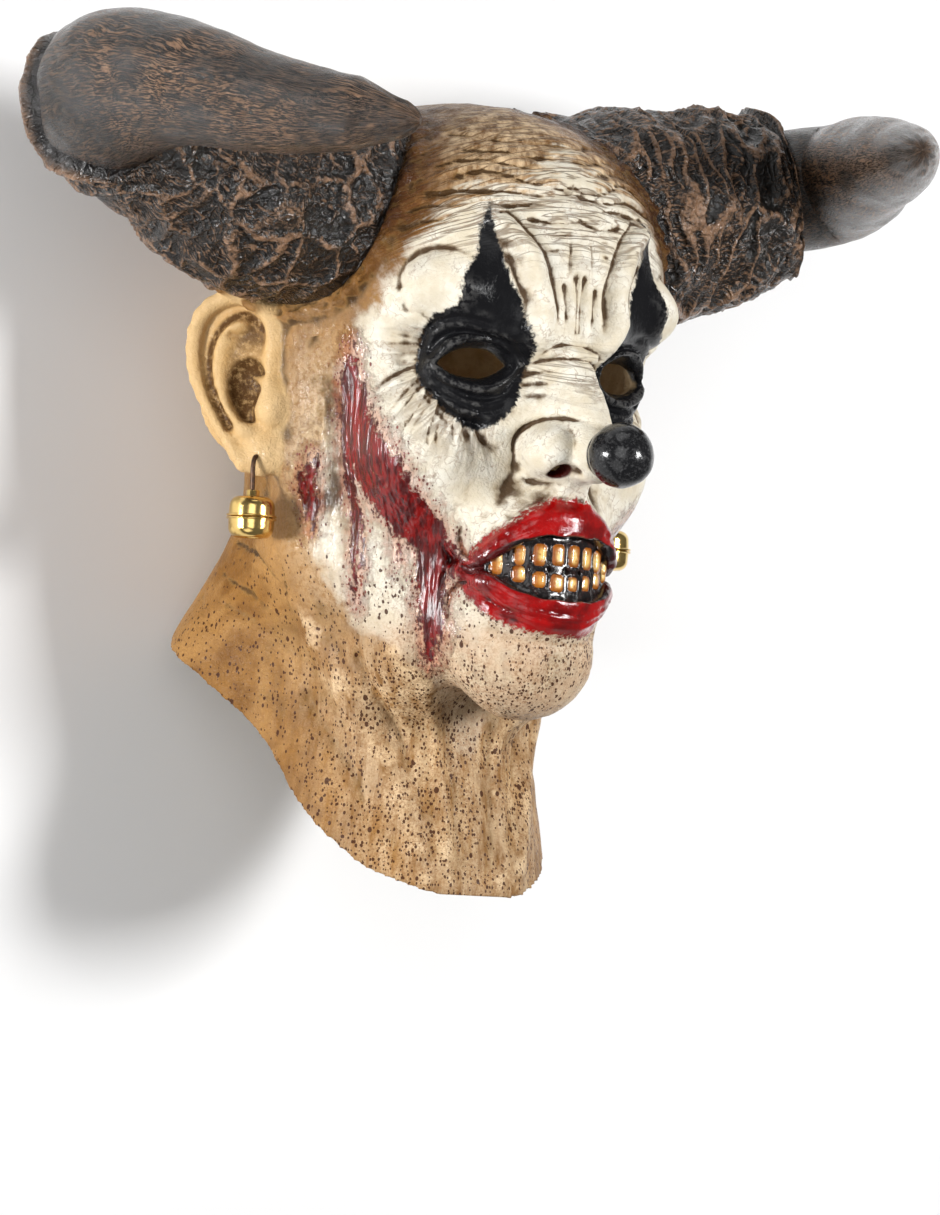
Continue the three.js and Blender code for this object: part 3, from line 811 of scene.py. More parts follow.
# %% Mesh from the clay
def surface_net(field, axes):
    """points and four-sided faces of the zero level"""
    cells = tuple(n - 1 for n in field.shape)
    total = np.zeros((int(np.prod(cells)), 4), np.float32)
    faces = []
    for axis in range(3):
        along = np.moveaxis(field, axis, 0)
        a, b = (np.moveaxis(part, 0, axis) for part in (along[:-1], along[1:]))
        crossed = np.nonzero((a < 0) != (b < 0))
        value_a, value_b = a[crossed], b[crossed]
        index = np.stack(crossed, 1)
        place = np.stack([axes[n][index[:, n]] for n in range(3)] + [np.ones(len(index), np.float32)], 1)
        step = axes[axis][index[:, axis] + 1] - axes[axis][index[:, axis]]
        place[:, axis] += value_a / (value_a - value_b) * step
        others = [n for n in range(3) if n != axis]
        corners = []
        for back_a, back_b in ((0, 0), (1, 0), (1, 1), (0, 1)):
            moved = index.copy()
            moved[:, others[0]] -= back_a
            moved[:, others[1]] -= back_b
            corners.append(np.ravel_multi_index(moved.T, cells))
            for n in range(4):
                total[:, n] += np.bincount(corners[-1], place[:, n], len(total)).astype(np.float32)
        face = np.stack(corners, 1)
        turned = (value_a < 0) if axis != 1 else (value_a >= 0)
        face[~turned] = face[~turned][:, ::-1]
        faces.append(face)
    faces = np.concatenate(faces)
    used, numbers = np.unique(faces, return_inverse=True)
    return total[used, :3] / total[used, 3:], numbers.reshape(faces.shape)


points, faces = surface_net(shell, AXES)
print("surface net:", len(points), "points,", len(faces), "faces")

# %% [markdown]
# The net is finer than the piece needs on flat ground, so a Decimate modifier thins it out and
# keeps points where the form is busy. It is applied, because the finish below is worked out for
# each point that is left.

# %% Thin out the mesh
SKIN_TRIANGLES = 190000


def thinned(piece, triangles):
    """the piece with at most this many triangles"""
    piece.data.calc_loop_triangles()
    before = len(piece.data.loop_triangles)
    if before > triangles:
        thinner = piece.modifiers.new("thin out", "DECIMATE")
        thinner.ratio = triangles / before
        mesh = bpy.data.meshes.new_from_object(piece.evaluated_get(bpy.context.evaluated_depsgraph_get()))
        piece.modifiers.clear()
        piece.data = mesh
        mesh.name = piece.name
        mesh.shade_smooth()
    piece.data.calc_loop_triangles()
    print(piece.name, before, "->", len(piece.data.loop_triangles), "triangles")
    return piece


skin = make_object("skin", points, faces)
bpy.context.view_layer.update()
thinned(skin, SKIN_TRIANGLES)


def mesh_arrays(mesh):
    """points, normals and edges of a mesh as arrays"""
    count = len(mesh.vertices)
    place = np.empty(count * 3, np.float32)
    mesh.vertices.foreach_get("co", place)
    normal = np.empty(count * 3, np.float32)
    mesh.vertex_normals.foreach_get("vector", normal)
    edges = np.empty(len(mesh.edges) * 2, np.int32)
    mesh.edges.foreach_get("vertices", edges)
    return place.reshape(-1, 3).astype(float), normal.reshape(-1, 3).astype(float), edges.reshape(-1, 2)


def store(mesh, **fields):
    """keeps a number or a vector for each point, which a material can read by name"""
    for name, values in fields.items():
        values = np.asarray(values, np.float32)
        kind, label = ("FLOAT", "value") if values.ndim == 1 else ("FLOAT_VECTOR", "vector")
        layer = mesh.attributes.new(name, kind, "POINT")
        layer.data.foreach_set(label, values.ravel())


def noise_at(places, scale, octaves=4, roughness=1.0):
    """fractal noise at places, with lumps of about this many millimetres, roughly -1 to 1"""
    places = np.asarray(places, float) / scale
    return np.array([noise.fractal(q, roughness, 2.0, octaves) for q in places.tolist()])


def smoothed(values, edges, rounds):
    """each value moved towards the middle of its neighbours, some times over"""
    values = values.copy()
    ends, others = np.concatenate([edges, edges[:, ::-1]]).T
    share = np.maximum(np.bincount(ends, minlength=len(values)), 1)
    for _ in range(rounds):
        for column in (values[:, None] if values.ndim == 1 else values).T:
            column[:] = (column + np.bincount(ends, column[others], len(values)) / share) / 2
    return values


def sunk_below(place, normal, edges, rounds):
    """how far each point lies below its surroundings, mm"""
    return np.einsum("ij,ij->i", smoothed(place, edges, rounds) - place, normal)


# %% [markdown]
# Cast latex is never quite even. Small lumps and a fine net of forehead lines move each point along
# its normal. After that, how deep a point lies below its surroundings is kept: brown wash collects
# in the creases and wears off the ridges, and the creases are also darkened as painted shade.

# %% Uneven latex and crease depth
place, normal, edges = mesh_arrays(skin.data)
bare = body_form(place.T)
uphill = np.stack([body_form((place + step).T) - bare for step in np.eye(3)], 1)      # away from the head
inner_side = (np.einsum("ij,ij->i", uphill, normal) < -0.2) & (bare < -0.8)
lumps = 0.35 * noise_at(place, 14.0, 3) + 0.16 * noise_at(place + 40, 3.5, 2)
forehead = ramp(place[:, 2], 42, 67) * ramp(place[:, 1], 40, 0)
lines = 1 - np.abs(noise_at(place / (5.5, 5.5, 1.0) + 7, 5.0, 2)) * 3.5
forehead_lines = np.clip(lines, 0, 1) ** 2 * forehead
folds = 1 - np.abs(noise_at(place / (0.8, 0.8, 2.0) + 90, 8.0, 3)) * 4
neck_folds = np.clip(folds, 0, 1) ** 2 * ramp(place[:, 2], -88, -113)
flat_spot = place[:, 1] * cos(REST_TILT) + place[:, 2] * sin(REST_TILT) > REST_PLANE - 0.6
height_change = np.where(inner_side, 0.3 * lumps, lumps - 0.55 * forehead_lines - 0.35 * neck_folds)
place = place + normal * np.where(flat_spot, 0, height_change)[:, None]
skin.data.vertices.foreach_set("co", place.astype(np.float32).ravel())
skin.data.update()

fine_depth = smoothed(sunk_below(place, normal, edges, 5), edges, 1)
broad_depth = sunk_below(place, normal, edges, 40)
# crease depth sets where the brown wash and the painted shade go
crease = 1.6 * fine_depth + 0.35 * broad_depth + 0.12 * forehead_lines + 0.10 * neck_folds
print("creases from", round(float(crease.min()), 2), "to", round(float(crease.max()), 2), "mm")

# %% [markdown]
# The make-up is planned as outlines on the unrolled face. Each point keeps its signed distance to
# the outline, negative inside, and the material later turns that into a ragged painted edge.

# %% Make-up outlines
EYE_PATCH = ((34, 60), (32, 53), (31, 45), (28, 37), (25, 29), (21.5, 20), (17.5, 12), (15, 5), (15, -1),
             (17, -9), (21, -17), (31, -25), (43, -22), (51, -15), (57, -7), (57, 2), (55, 9), (51, 15.5),
             (45, 19.5), (43, 29), (39, 39), (36.5, 50))
LIP_PAINT = ((-6, -51), (3, -50.5), (8, -50.5), (13, -53.5), (24, -61), (30.5, -67.5), (36.5, -78.5),
             (35, -83), (29.5, -90), (23.5, -95), (17, -99), (10, -101), (0, -101.5), (-6, -101.5))
WHITE_FACE = ((-8, 70), (17, 69), (34, 65), (46, 58), (53, 51), (59, 43), (66, 33), (75, 22), (82, 8),
              (94, -14), (106, -36), (111, -60), (106, -80), (90, -95), (70, -106), (45, -118), (22, -130),
              (-8, -132))
BLOOD = ((85, 4), (86, -7), (86, -17), (84, -27), (77, -36), (70, -45), (63, -54), (54, -63), (45, -71),
         (35, -79))
BLOOD_WIDTH = (1.5, 5.0, 8.0, 9.5, 10.5, 10.5, 9.5, 7.5, 6.0, 3.5)
BLOOD_RUNS = ((((48, -70), (46, -84), (45, -98), (44.5, -112)), (7.0, 6.4, 5.2, 2.0)),
              (((108, -40), (112, -50), (113, -60), (113, -66)), (2.0, 4.2, 4.0, 1.0)),
              (((88, -30), (87, -50), (85, -70), (85, -92)), (5.0, 3.0, 3.4, 1.2)),
              (((66, -48), (64, -64), (63, -76)), (5.0, 2.5, 0.8)))


def outline_distance(around, height, outline):
    """signed distance to a closed outline, negative inside"""
    line = smooth_path(outline, 5 * len(outline), closed=True)
    line = np.vstack([line, line[:1]])
    away = line_distance(around, height, line)[0]
    inside = np.zeros(around.shape, bool)
    for (xa, za), (xb, zb) in zip(line[:-1], line[1:]):
        between = (za > height) != (zb > height)
        inside ^= between & (around < xa + (height - za) * (xb - xa) / (zb - za if zb != za else 1e-9))
    return np.where(inside, -away, away)


def run_distance(around, height, line, widths):
    """signed distance to a run of paint whose half width changes along it"""
    line = smooth_path(line, 4 * len(line))
    away, part = line_distance(around, height, line)
    return away - np.interp(part, np.linspace(0, 1, len(widths)), widths)


x, y, z = place.T
around, height = unrolled(x, y, z)
blood = run_distance(around, height, BLOOD, BLOOD_WIDTH)
for line, widths in BLOOD_RUNS:
    blood = np.minimum(blood, run_distance(around, height, line, widths))
blood = blood + np.where(x > 0, 0.30 * np.clip(around - 42, 0, None), 0)       # little on the left cheek
foot = {side: horn_foot(place.T, HORNS[side]) for side in HORNS}
ear_near = np.minimum(*(ear_form(ear_axes(side)(place.T)) for side in SIDES.values()))
back, deep, up = ear_axes(1)(mirrored(place.T))
rim_inside = -(np.hypot((back - 3) / 15.5, (up - 3) / 27) - 1) * 15
ear_bowl = np.minimum(rim_inside, (deep + 2.6) * 2.2) - np.where((ear_near > 2.5) | (deep > 7), 50, 0)
ear_groove = line_distance(back, up, smooth_path(EAR_GROOVE, 30))[0]
cord_distances = (line_distance(around, height, smooth_path(cord, 20))[0]
                  for cord in (NECK_CORD, THROAT_CORD))
bridge = np.exp(-(around / 15) ** 2 - ((height + 3) / 10) ** 2) * (y < 0)
off_eye = np.hypot(around - EYE_X, height - EYE_Z)
eye_ring = ramp(off_eye, 15, 20) * ramp(off_eye, 46, 30)
outer_half = ramp(around - EYE_X - 0.5 * (height - EYE_Z), 0, 12)
store(skin.data,
      crease=crease,
      inner_side=smoothed(inner_side.astype(float), edges, 1),
      eye_patch=outline_distance(around, height, EYE_PATCH),
      lip_paint=outline_distance(around, height, LIP_PAINT),
      blood=blood,
      white_face=outline_distance(around, height, WHITE_FACE) + np.where(y > 0, 20, 0),
      mouth_gap=mouth_opening(place.T),
      ball=ball_form(place.T),
      nostril=nostril_form(place.T),
      # the left horn reaches 8 mm further, for painted shade round the foot of the far horn
      horn_foot=np.minimum(foot["left"] - 8, foot["right"]),
      ear=ear_near,
      ear_bowl=ear_bowl,
      ear_groove=ear_groove + np.where((ear_near > 2.5) | (deep > 3), 50, 0),
      worn_height=z,
      worn_side=np.abs(x),
      gleam=np.exp(-((around - 101) / 23) ** 2 - ((height + 48) / 48) ** 2),
      cords=np.exp(-(np.minimum(*cord_distances) / 10) ** 2),
      brow_lines=np.maximum(ramp(z, 34, 48) * ramp(y, 60, 20), bridge),
      eye_lines=eye_ring * outer_half * ramp(height, 14, 8) * (y < 0),
      brow_map=np.stack([x, 90 * np.arctan2(z - 10, -y), 0 * x], 1),
      eye_map=np.stack([30 * np.arctan2(height - EYE_Z, around - EYE_X), off_eye, 60 * np.sign(x)], 1))
print("stored", len(skin.data.attributes), "fields on the skin")

# %% [markdown]
# The finished skin is laid on the floor. It rides on the only body and stands for the CAD skin.

# %% Lay the skin down
def hand_in(piece, cad_node):
    """lays a piece down from the worn frame and ties it to the CAD"""
    worn = mesh_arrays(piece.data)[0]
    piece.data.vertices.foreach_set("co", laid_down(worn).astype(np.float32).ravel())
    piece.data.update()
    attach(piece, "root")
    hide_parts(cad_node)


skin.name = "rubber_skin"
hand_in(skin, "mask_skin")
print(skin.name, "laid down")

# %% [markdown]
# Gums and teeth are part of the same casting, but they are painted apart and need finer clay, so they
# get a small block of their own. Each tooth is a rounded block with its own size and lean, set on a
# bent bank of gum, and a raised rim of gum runs round its root.

# %% Teeth and gums
TEETH_IN_ROW = 8
TOOTH_PITCH = 6.7
TOOTH_HALF = {1: (2.9, 3.4, 4.6), -1: (3.0, 3.4, 3.5)}         # upper row 1, lower row -1
TOOTH_MIDDLE = {1: -71.0, -1: -81.7}
TOOTH_FRONT = -92.0
TOOTH_BOW = 0.018
TOOTH_ROUNDING = 1.8
TEETH_TRIANGLES = 60000


def tooth_form(p, centre, half, yaw, roll):
    """a block with rounded edges, turned about its upright axis and leaned over sideways"""
    x, y, z = (p[k] - centre[k] for k in range(3))
    x, y = x * cos(yaw) + y * sin(yaw), y * cos(yaw) - x * sin(yaw)
    x, z = x * cos(roll) + z * sin(roll), z * cos(roll) - x * sin(roll)
    q = [np.abs(v) - (h - TOOTH_ROUNDING) for v, h in zip((x, y, z), half)]
    over = length(*(np.maximum(v, 0) for v in q))
    return over + np.minimum(np.maximum(np.maximum(q[0], q[1]), q[2]), 0) - TOOTH_ROUNDING


def on_bow(x, depth):
    """how far forward a place stands that lies this deep behind the bent front of the teeth"""
    return TOOTH_FRONT + depth + TOOTH_BOW * x * x


TEETH = []
rng = np.random.default_rng(7)
for row in (1, -1):
    for k in range(TEETH_IN_ROW):
        x = (k - (TEETH_IN_ROW - 1) / 2) * TOOTH_PITCH
        lean, grow = rng.uniform(-0.09, 0.09), rng.uniform(0.88, 1.04) * (1 - 0.004 * abs(x))
        half = [h * grow for h in TOOTH_HALF[row]]
        rise = -0.0035 * x * x if row > 0 else 0.009 * x * x
        centre = (x, on_bow(x, half[1] + rng.uniform(-0.3, 0.3)), TOOTH_MIDDLE[row] + rise)
        TEETH.append((centre, half, 2 * TOOTH_BOW * x, lean))


def gum_form(p):
    """a bent bank behind the teeth, swollen above and below them"""
    bank = length(np.maximum(np.abs(p[0]) - 21, 0), p[1] - on_bow(p[0], 8.2),
                  np.maximum(np.abs(p[2] + 76.5) - 12, 0)) - 5.4
    across = np.linspace(-25, 25, 9)
    upper = chain(p, [(x, on_bow(x, 3.4), -64.8 - 0.006 * x * x) for x in across], [3.0] * 9)
    lower = chain(p, [(x, on_bow(x, 3.4), -87.0 + 0.010 * x * x) for x in across], [2.8] * 9)
    return blend(bank, blend(upper, lower, 1), 1.5)


MOUTH_AXES = [spread((low, high, 0.5 * FINE)) for low, high in ((-30, 30), (-102, -70), (-97, -58))]
mouth_block = as_block(MOUTH_AXES)
to_teeth = np.stack([tooth_form(mouth_block, *tooth) for tooth in TEETH])
rim = np.min(np.abs(to_teeth - 0.9), axis=0) - 0.75                      # a thin ridge round every tooth
behind_front = mouth_block[1] - on_bow(mouth_block[0], 2.6)
clay = blend(gum_form(mouth_block), np.maximum(rim, -behind_front - 2.0), 0.8)
clay = closed_off(np.minimum(clay, to_teeth.min(axis=0)))
teeth = thinned(make_object("teeth_and_gums", *surface_net(clay, MOUTH_AXES)), TEETH_TRIANGLES)

place, normal, edges = mesh_arrays(teeth.data)
distances = np.stack([tooth_form(place.T, *tooth) for tooth in TEETH])
nearest = distances.argmin(axis=0)
middles, halves = (np.array([tooth[n] for tooth in TEETH])[nearest] for n in (0, 1))
rows = np.repeat((1.0, -1.0), TEETH_IN_ROW)
local = place - middles
to_edge = np.hypot(local[:, 0] / halves[:, 0], np.abs(local[:, 2] / halves[:, 2]) ** 1.4)
store(teeth.data,
      tooth=distances.min(axis=0),
      rim=to_edge,
      root=rows[nearest] * local[:, 2] / halves[:, 2],
      seed=rng.uniform(0, 1, len(TEETH))[nearest])
hand_in(teeth, "mask_skin")
print(len(TEETH), "teeth in", len(place), "points")

# %% [markdown]
# The finishes below are worked out from a few kinds of node: a field that the mesh keeps, noise, a
# span that is stretched to another span, and one colour mixed over another. Each gets a short name.

# %% Words for the finishes
def object_places(tree):
    return Value(node(tree, "ShaderNodeTexCoord").outputs["Object"])


def field(tree, name, output="Fac"):
    return Value(node(tree, "ShaderNodeAttribute", attribute_name=name).outputs[output])


def noise_texture(vector, scale, detail=4.0, roughness=0.55, distortion=0.0, output="Fac"):
    inputs = {"Vector": vector, "Scale": scale, "Detail": detail, "Roughness": roughness,
              "Distortion": distortion}
    return Value(node(vector.tree, "ShaderNodeTexNoise", inputs).outputs[output])


def border_distance(vector, scale):
    """distance to the nearest border of a cell pattern"""
    inputs = {"Vector": vector, "Scale": scale}
    made = node(vector.tree, "ShaderNodeTexVoronoi", inputs, feature="DISTANCE_TO_EDGE")
    return Value(made.outputs["Distance"])


def scaled(vector, factors):
    made = node(vector.tree, "ShaderNodeVectorMath", {0: vector, 1: factors}, operation="MULTIPLY")
    return Value(made.outputs[0])


def moved(vector, by):
    made = node(vector.tree, "ShaderNodeVectorMath", {0: vector, 1: by}, operation="ADD")
    return Value(made.outputs[0])


def larger(first, *others):
    """the largest of some values"""
    for other in others:
        first = calc("MAXIMUM", first, other)
    return first


def smaller(a, b):
    return calc("MINIMUM", a, b)


def stretch(value, low, high, new_low=0.0, new_high=1.0):
    """turns the span low..high into new_low..new_high with a soft start and end, held at both ends"""
    inputs = {"Value": value, "From Min": low, "From Max": high, "To Min": new_low, "To Max": new_high}
    made = node(value.tree, "ShaderNodeMapRange", inputs, interpolation_type="SMOOTHSTEP")
    return Value(made.outputs["Result"])


def mixed(share, a, b):
    """colour a, with b laid over it by share"""
    return Value(node(share.tree, "ShaderNodeMix", {0: share, 6: a, 7: b}, data_type="RGBA").outputs[2])


def laid_over(colour, *layers):
    """lays paints over a colour, one after another, each with its own share"""
    for share, paint in layers:
        colour = mixed(share, colour, paint)
    return colour


def blended(share, a, b):
    """value a, turned towards b by share"""
    return Value(node(share.tree, "ShaderNodeMix", {0: share, 2: a, 3: b}, data_type="FLOAT").outputs[0])


def bumped(height, distance, strength):
    """the normal of a surface that rises with height"""
    inputs = {"Height": height, "Distance": distance, "Strength": strength}
    return Value(node(height.tree, "ShaderNodeBump", inputs).outputs["Normal"])


print("words for the finishes ready")

# %% [markdown]
# Effects that are placed several times are node groups: they take values and give back a mask or a
# height that changes over the surface. The shader itself stays in each material.

# %% Shared effects
def shared_effect(name, starts, output, recipe):
    """builds a group from a recipe, and gives back a function that places it in a material"""
    group = bpy.data.node_groups.new(name, "ShaderNodeTree")
    group.interface.new_socket("vector", in_out="INPUT", socket_type="NodeSocketVector")
    for label, start in starts.items():
        socket = group.interface.new_socket(label, in_out="INPUT", socket_type="NodeSocketFloat")
        socket.default_value = start
    group.interface.new_socket(output, in_out="OUTPUT", socket_type="NodeSocketFloat")
    entry = node(group, "NodeGroupInput")
    inputs = {label: Value(entry.outputs[label]) for label in ("vector", *starts)}
    node(group, "NodeGroupOutput", {output: recipe(**inputs)})

    def place(vector, **values):
        made = node(vector.tree, "ShaderNodeGroup", {"vector": vector, **values}, node_tree=group)
        return Value(made.outputs[output])

    return place


def ragged_mask(vector, distance, scale, ragged, soft):
    """1 inside an outline, 0 outside, with a ragged edge"""
    wander = (noise_texture(vector, scale, 6.0, 0.65) - 0.5) * ragged
    half_soft = soft * 0.5
    return stretch(distance + wander * 2.0, half_soft * -1.0, half_soft, 1.0, 0.0)


def crease_mask(vector, crease, start, full, patchy):
    """the more the deeper a crease is, in patches"""
    patches = (noise_texture(vector, 220.0, 5.0, 0.6) - 0.5) * patchy
    return stretch(crease + patches, start, full)


def drop_mask(vector, scale, size, share):
    """drops of many sizes in some of the cells of a pattern"""
    shake = noise_texture(vector, 900.0, 2.0)
    long_cells = {"Vector": scaled(vector, (1.0, 0.7, 1.0)), "Scale": scale}
    cells = node(vector.tree, "ShaderNodeTexVoronoi", long_cells)
    pick = node(vector.tree, "ShaderNodeSeparateColor", {"Color": Value(cells.outputs["Color"])})
    picked = calc("LESS_THAN", Value(pick.outputs[0]), share)
    reach = calc("POWER", Value(pick.outputs[1]), 1.6) * size * picked
    return stretch(reach - (Value(cells.outputs["Distance"]) + (shake - 0.5) * 0.12), -0.02, 0.02)


def line_mask(vector, width):
    """thin lines where a noise crosses its middle"""
    cloud = noise_texture(vector, 1.0, 3.0, 0.5, 0.3)
    return stretch(calc("ABSOLUTE", cloud - 0.5), width, 0.0)


def pore_height(vector, scale):
    """pores between small cells, over a softer noise"""
    return smaller(border_distance(vector, scale), 0.25) * 1.2 + noise_texture(vector, scale * 0.5, 6.0, 0.6)


paint_edge = shared_effect("paint_edge", {"distance": 0.0, "scale": 300.0, "ragged": 2.0, "soft": 1.0},
                           "mask", ragged_mask)
crease_wash_and_shade = shared_effect("crease_wash_and_shade", {"crease": 0.0, "start": 0.05, "full": 0.6, "patchy": 0.5},
                            "mask", crease_mask)
spatter = shared_effect("spatter", {"scale": 160.0, "size": 0.2, "share": 0.5}, "mask", drop_mask)
fine_lines = shared_effect("fine_lines", {"width": 0.05}, "mask", line_mask)
pores = shared_effect("pores", {"scale": 700.0}, "height", pore_height)
print("shared effects:", [group.name for group in bpy.data.node_groups])

# %% [markdown]
# The skin is one casting in tan latex, painted by hand. The next cells lay the paint on in layers, as
# a painter would: `colour` is what is there so far, and each layer is mixed over it by a mask. First
# come the noises and the fine lines that many of the layers share.

# %% Skin noises and fine lines
painted_skin, tree, shader = new_material("painted_skin")
where = object_places(tree)
crease_depth = field(tree, "crease")
height_now = field(tree, "worn_height")
aside = field(tree, "worn_side")
mottle = noise_texture(where, 90.0, 6.0, 0.6)
blotch = noise_texture(where, 26.0, 4.0, 0.55, 0.6)
grainy = noise_texture(where, 900.0, 4.0, 0.7)
patchy = noise_texture(where, 420.0, 5.0, 0.65)
drips = noise_texture(scaled(where, (420.0, 75.0, 420.0)), 1.0, 4.0, 0.6)
streaks = noise_texture(scaled(where, (240.0, 26.0, 240.0)), 1.0, 6.0, 0.68)
soft_drips = noise_texture(scaled(where, (430.0, 75.0, 430.0)), 1.0, 1.5, 0.4)

# the lines run along the folds, because these places count along and across the brow and the eye
brow_map = field(tree, "brow_map", "Vector")
eye_map = field(tree, "eye_map", "Vector")
brow_fine = fine_lines(scaled(brow_map, (0.03, 0.3, 1.0)), width=0.04)
brow_long = fine_lines(scaled(brow_map, (0.016, 0.13, 1.0)), width=0.028)
brow_streaks = noise_texture(scaled(brow_map, (0.06, 0.55, 1.0)), 1.0, 4.0, 0.6)
on_brow = field(tree, "brow_lines")
lines = larger(brow_fine, brow_long) * on_brow
eye_fine = fine_lines(scaled(eye_map, (0.17, 0.03, 1.0)), width=0.085)
lines = larger(lines, eye_fine * field(tree, "eye_lines") * 0.7)
net_lines = fine_lines(scaled(where, (230.0, 230.0, 230.0)), width=0.035)
print("noises and fine lines:", len(tree.nodes), "nodes")

# %% [markdown]
# Bare latex is tan, browner towards the scalp and rubbed pale in front of the neck. Along the neck
# cords and on the wet cheek the pale is partly a painted highlight. Cream paint lies on the face, thin
# at the chin, and at its upper edge it is dragged along the lines of the forehead.

# %% Bare latex and cream paint
tan = mixed(stretch(mottle, 0.35, 0.65), (0.18, 0.078, 0.017), (0.275, 0.13, 0.031))
tan = laid_over(tan,
                (stretch(blotch, 0.5, 0.66) * 0.6, (0.43, 0.235, 0.08)),
                (stretch(blotch, 0.46, 0.34) * 0.65, (0.13, 0.052, 0.012)))
scalp = mixed(stretch(brow_streaks, 0.36, 0.62), (0.04, 0.013, 0.003), (0.19, 0.08, 0.017))
scalp_edge = height_now + (blotch - 0.5) * 40.0
colour = mixed(stretch(scalp_edge, 22.0, 60.0), tan, scalp)
throat = stretch(height_now, -180.0, -110.0, 0.6, 0.85) * stretch(aside, 62.0, 30.0)
throat = throat * stretch(streaks, 0.3, 0.66)
# pale along the neck cords and on the wet cheek: rubbed latex, and partly painted highlight
cords = field(tree, "cords") * stretch(mottle, 0.4, 0.62, 0.0, 0.85)
shine = field(tree, "gleam")
pale = larger(throat, cords, shine * stretch(patchy, 0.34, 0.58, 0.25, 0.9))
colour = mixed(pale, colour, (0.74, 0.55, 0.34))

dragged = (brow_streaks - 0.5) * 40.0 * on_brow + (mottle - 0.5) * 22.0
white_edge = field(tree, "white_face") + dragged
white = paint_edge(where, distance=white_edge, scale=110.0, ragged=9.0, soft=10.0)
cream = mixed(stretch(mottle, 0.3, 0.7), (0.64, 0.565, 0.43), (0.79, 0.755, 0.66))
rubbed = shine * stretch(blotch, 0.6, 0.42)
thin_paint = white * stretch(patchy, 0.2, 0.42, 0.7, 1.0) * stretch(height_now, -116.0, -92.0, 0.45, 1.0)
thin_paint = thin_paint * stretch(rubbed, 0.0, 1.0, 1.0, 0.35)
colour = mixed(thin_paint, colour, cream)
print("latex and cream:", len(tree.nodes), "nodes")

# %% [markdown]
# Thin brown paint settles where a form is deep: round the feet of the horns, in creases and fine
# lines, and in the bowl of the ear. Round the horn feet, in the creases and in the ear bowl, the same
# darkening is also painted shade.

# %% Brown wash and painted shade
REDDISH_BROWN, BLACK_BROWN, DEEP_BROWN = (0.115, 0.042, 0.014), (0.026, 0.01, 0.005), (0.05, 0.024, 0.009)
OCHRE, UMBER, SOFT_BROWN = (0.36, 0.22, 0.075), (0.11, 0.052, 0.016), (0.22, 0.11, 0.04)
EAR_TAN, EAR_AMBER, EAR_DARK = (0.72, 0.5, 0.25), (0.5, 0.285, 0.095), (0.055, 0.02, 0.005)

# round the horn feet: brown dirt further out and black-brown close in, both also painted shade between horn
# and head
foot_distance = field(tree, "horn_foot") + (mottle - 0.5) * 22.0
above_temple = stretch(height_now, 26.0, 58.0, 0.15, 1.0)
horn_dirt_and_shade = stretch(foot_distance, 19.0, 2.0) * stretch(patchy, 0.3, 0.52, 0.45, 1.0) * above_temple
close_horn_dirt_and_shade = stretch(foot_distance, 12.0, -2.0) * stretch(patchy, 0.28, 0.5, 0.6, 1.0) * above_temple
ear_distance = field(tree, "ear")
# the film and the deep wash darken the creases: brown wash, and painted shade
ochre_film_and_shade = crease_wash_and_shade(where, crease=crease_depth, start=-0.1, full=0.75, patchy=1.5)
ochre_film_and_shade = ochre_film_and_shade * stretch(height_now, -102.0, -84.0, 0.2, 0.5)
deep_wash_and_shade = crease_wash_and_shade(where, crease=crease_depth, start=0.1, full=0.62, patchy=0.5)
deep_wash_and_shade = deep_wash_and_shade * stretch(height_now, -102.0, -84.0, 0.2, 1.0) * stretch(ear_distance, 0.0, 9.0, 0.7, 1.0)
# amber and dark brown deep in the ear's bowl and groove: brown wash, and painted shade
ear_bowl_depth = field(tree, "ear_bowl")
ear_wash_and_shade = larger(stretch(ear_bowl_depth, -1.0, 5.0), stretch(field(tree, "ear_groove"), 2.8, 0.8))
ear_wash_and_shade = ear_wash_and_shade * stretch(patchy, 0.34, 0.54, 0.5, 1.0)
ear_amber_and_shade = stretch(ear_bowl_depth, -6.0, 2.0) * stretch(patchy, 0.3, 0.6, 0.35, 0.75)
colour = laid_over(colour,
                   (horn_dirt_and_shade * 0.88, REDDISH_BROWN),
                   (close_horn_dirt_and_shade * 0.9, BLACK_BROWN),
                   (ochre_film_and_shade, OCHRE),
                   (lines * 0.68, UMBER),
                   (net_lines * stretch(mottle, 0.42, 0.58) * 0.45, SOFT_BROWN),
                   (deep_wash_and_shade * 0.93, DEEP_BROWN),
                   (stretch(ear_distance, 3.0, 0.5) * 0.75, EAR_TAN),
                   (ear_amber_and_shade, EAR_AMBER),
                   (ear_wash_and_shade * 0.92, EAR_DARK))
print("brown wash:", len(tree.nodes), "nodes")

# %% [markdown]
# Dark drops are flicked over the chin, jaw and neck. Then the black patches are painted over the eyes,
# brushed grey where the form stands up.

# %% Spatter and black patches
CHIN_TAN, DUST_BROWN, DROP_BROWN = (0.5, 0.31, 0.17), (0.24, 0.11, 0.04), (0.05, 0.014, 0.006)

drops_share = stretch(height_now, -62.0, -98.0) * stretch(blotch, 0.36, 0.56, 0.35, 1.0)
drops_share = drops_share * stretch(aside, 62.0, 34.0, 0.4, 1.0)
drops = larger(spatter(where, scale=950.0, size=0.62, share=drops_share * 0.95),
               spatter(where, scale=430.0, size=0.44, share=drops_share * 0.3))
on_chin = stretch(height_now, -88.0, -104.0) * white
colour = laid_over(colour,
                   (on_chin * stretch(mottle, 0.36, 0.6, 0.15, 0.6), CHIN_TAN),
                   (stretch(grainy, 0.48, 0.6) * drops_share * 0.62, DUST_BROWN),
                   (drops * 0.92, DROP_BROWN))

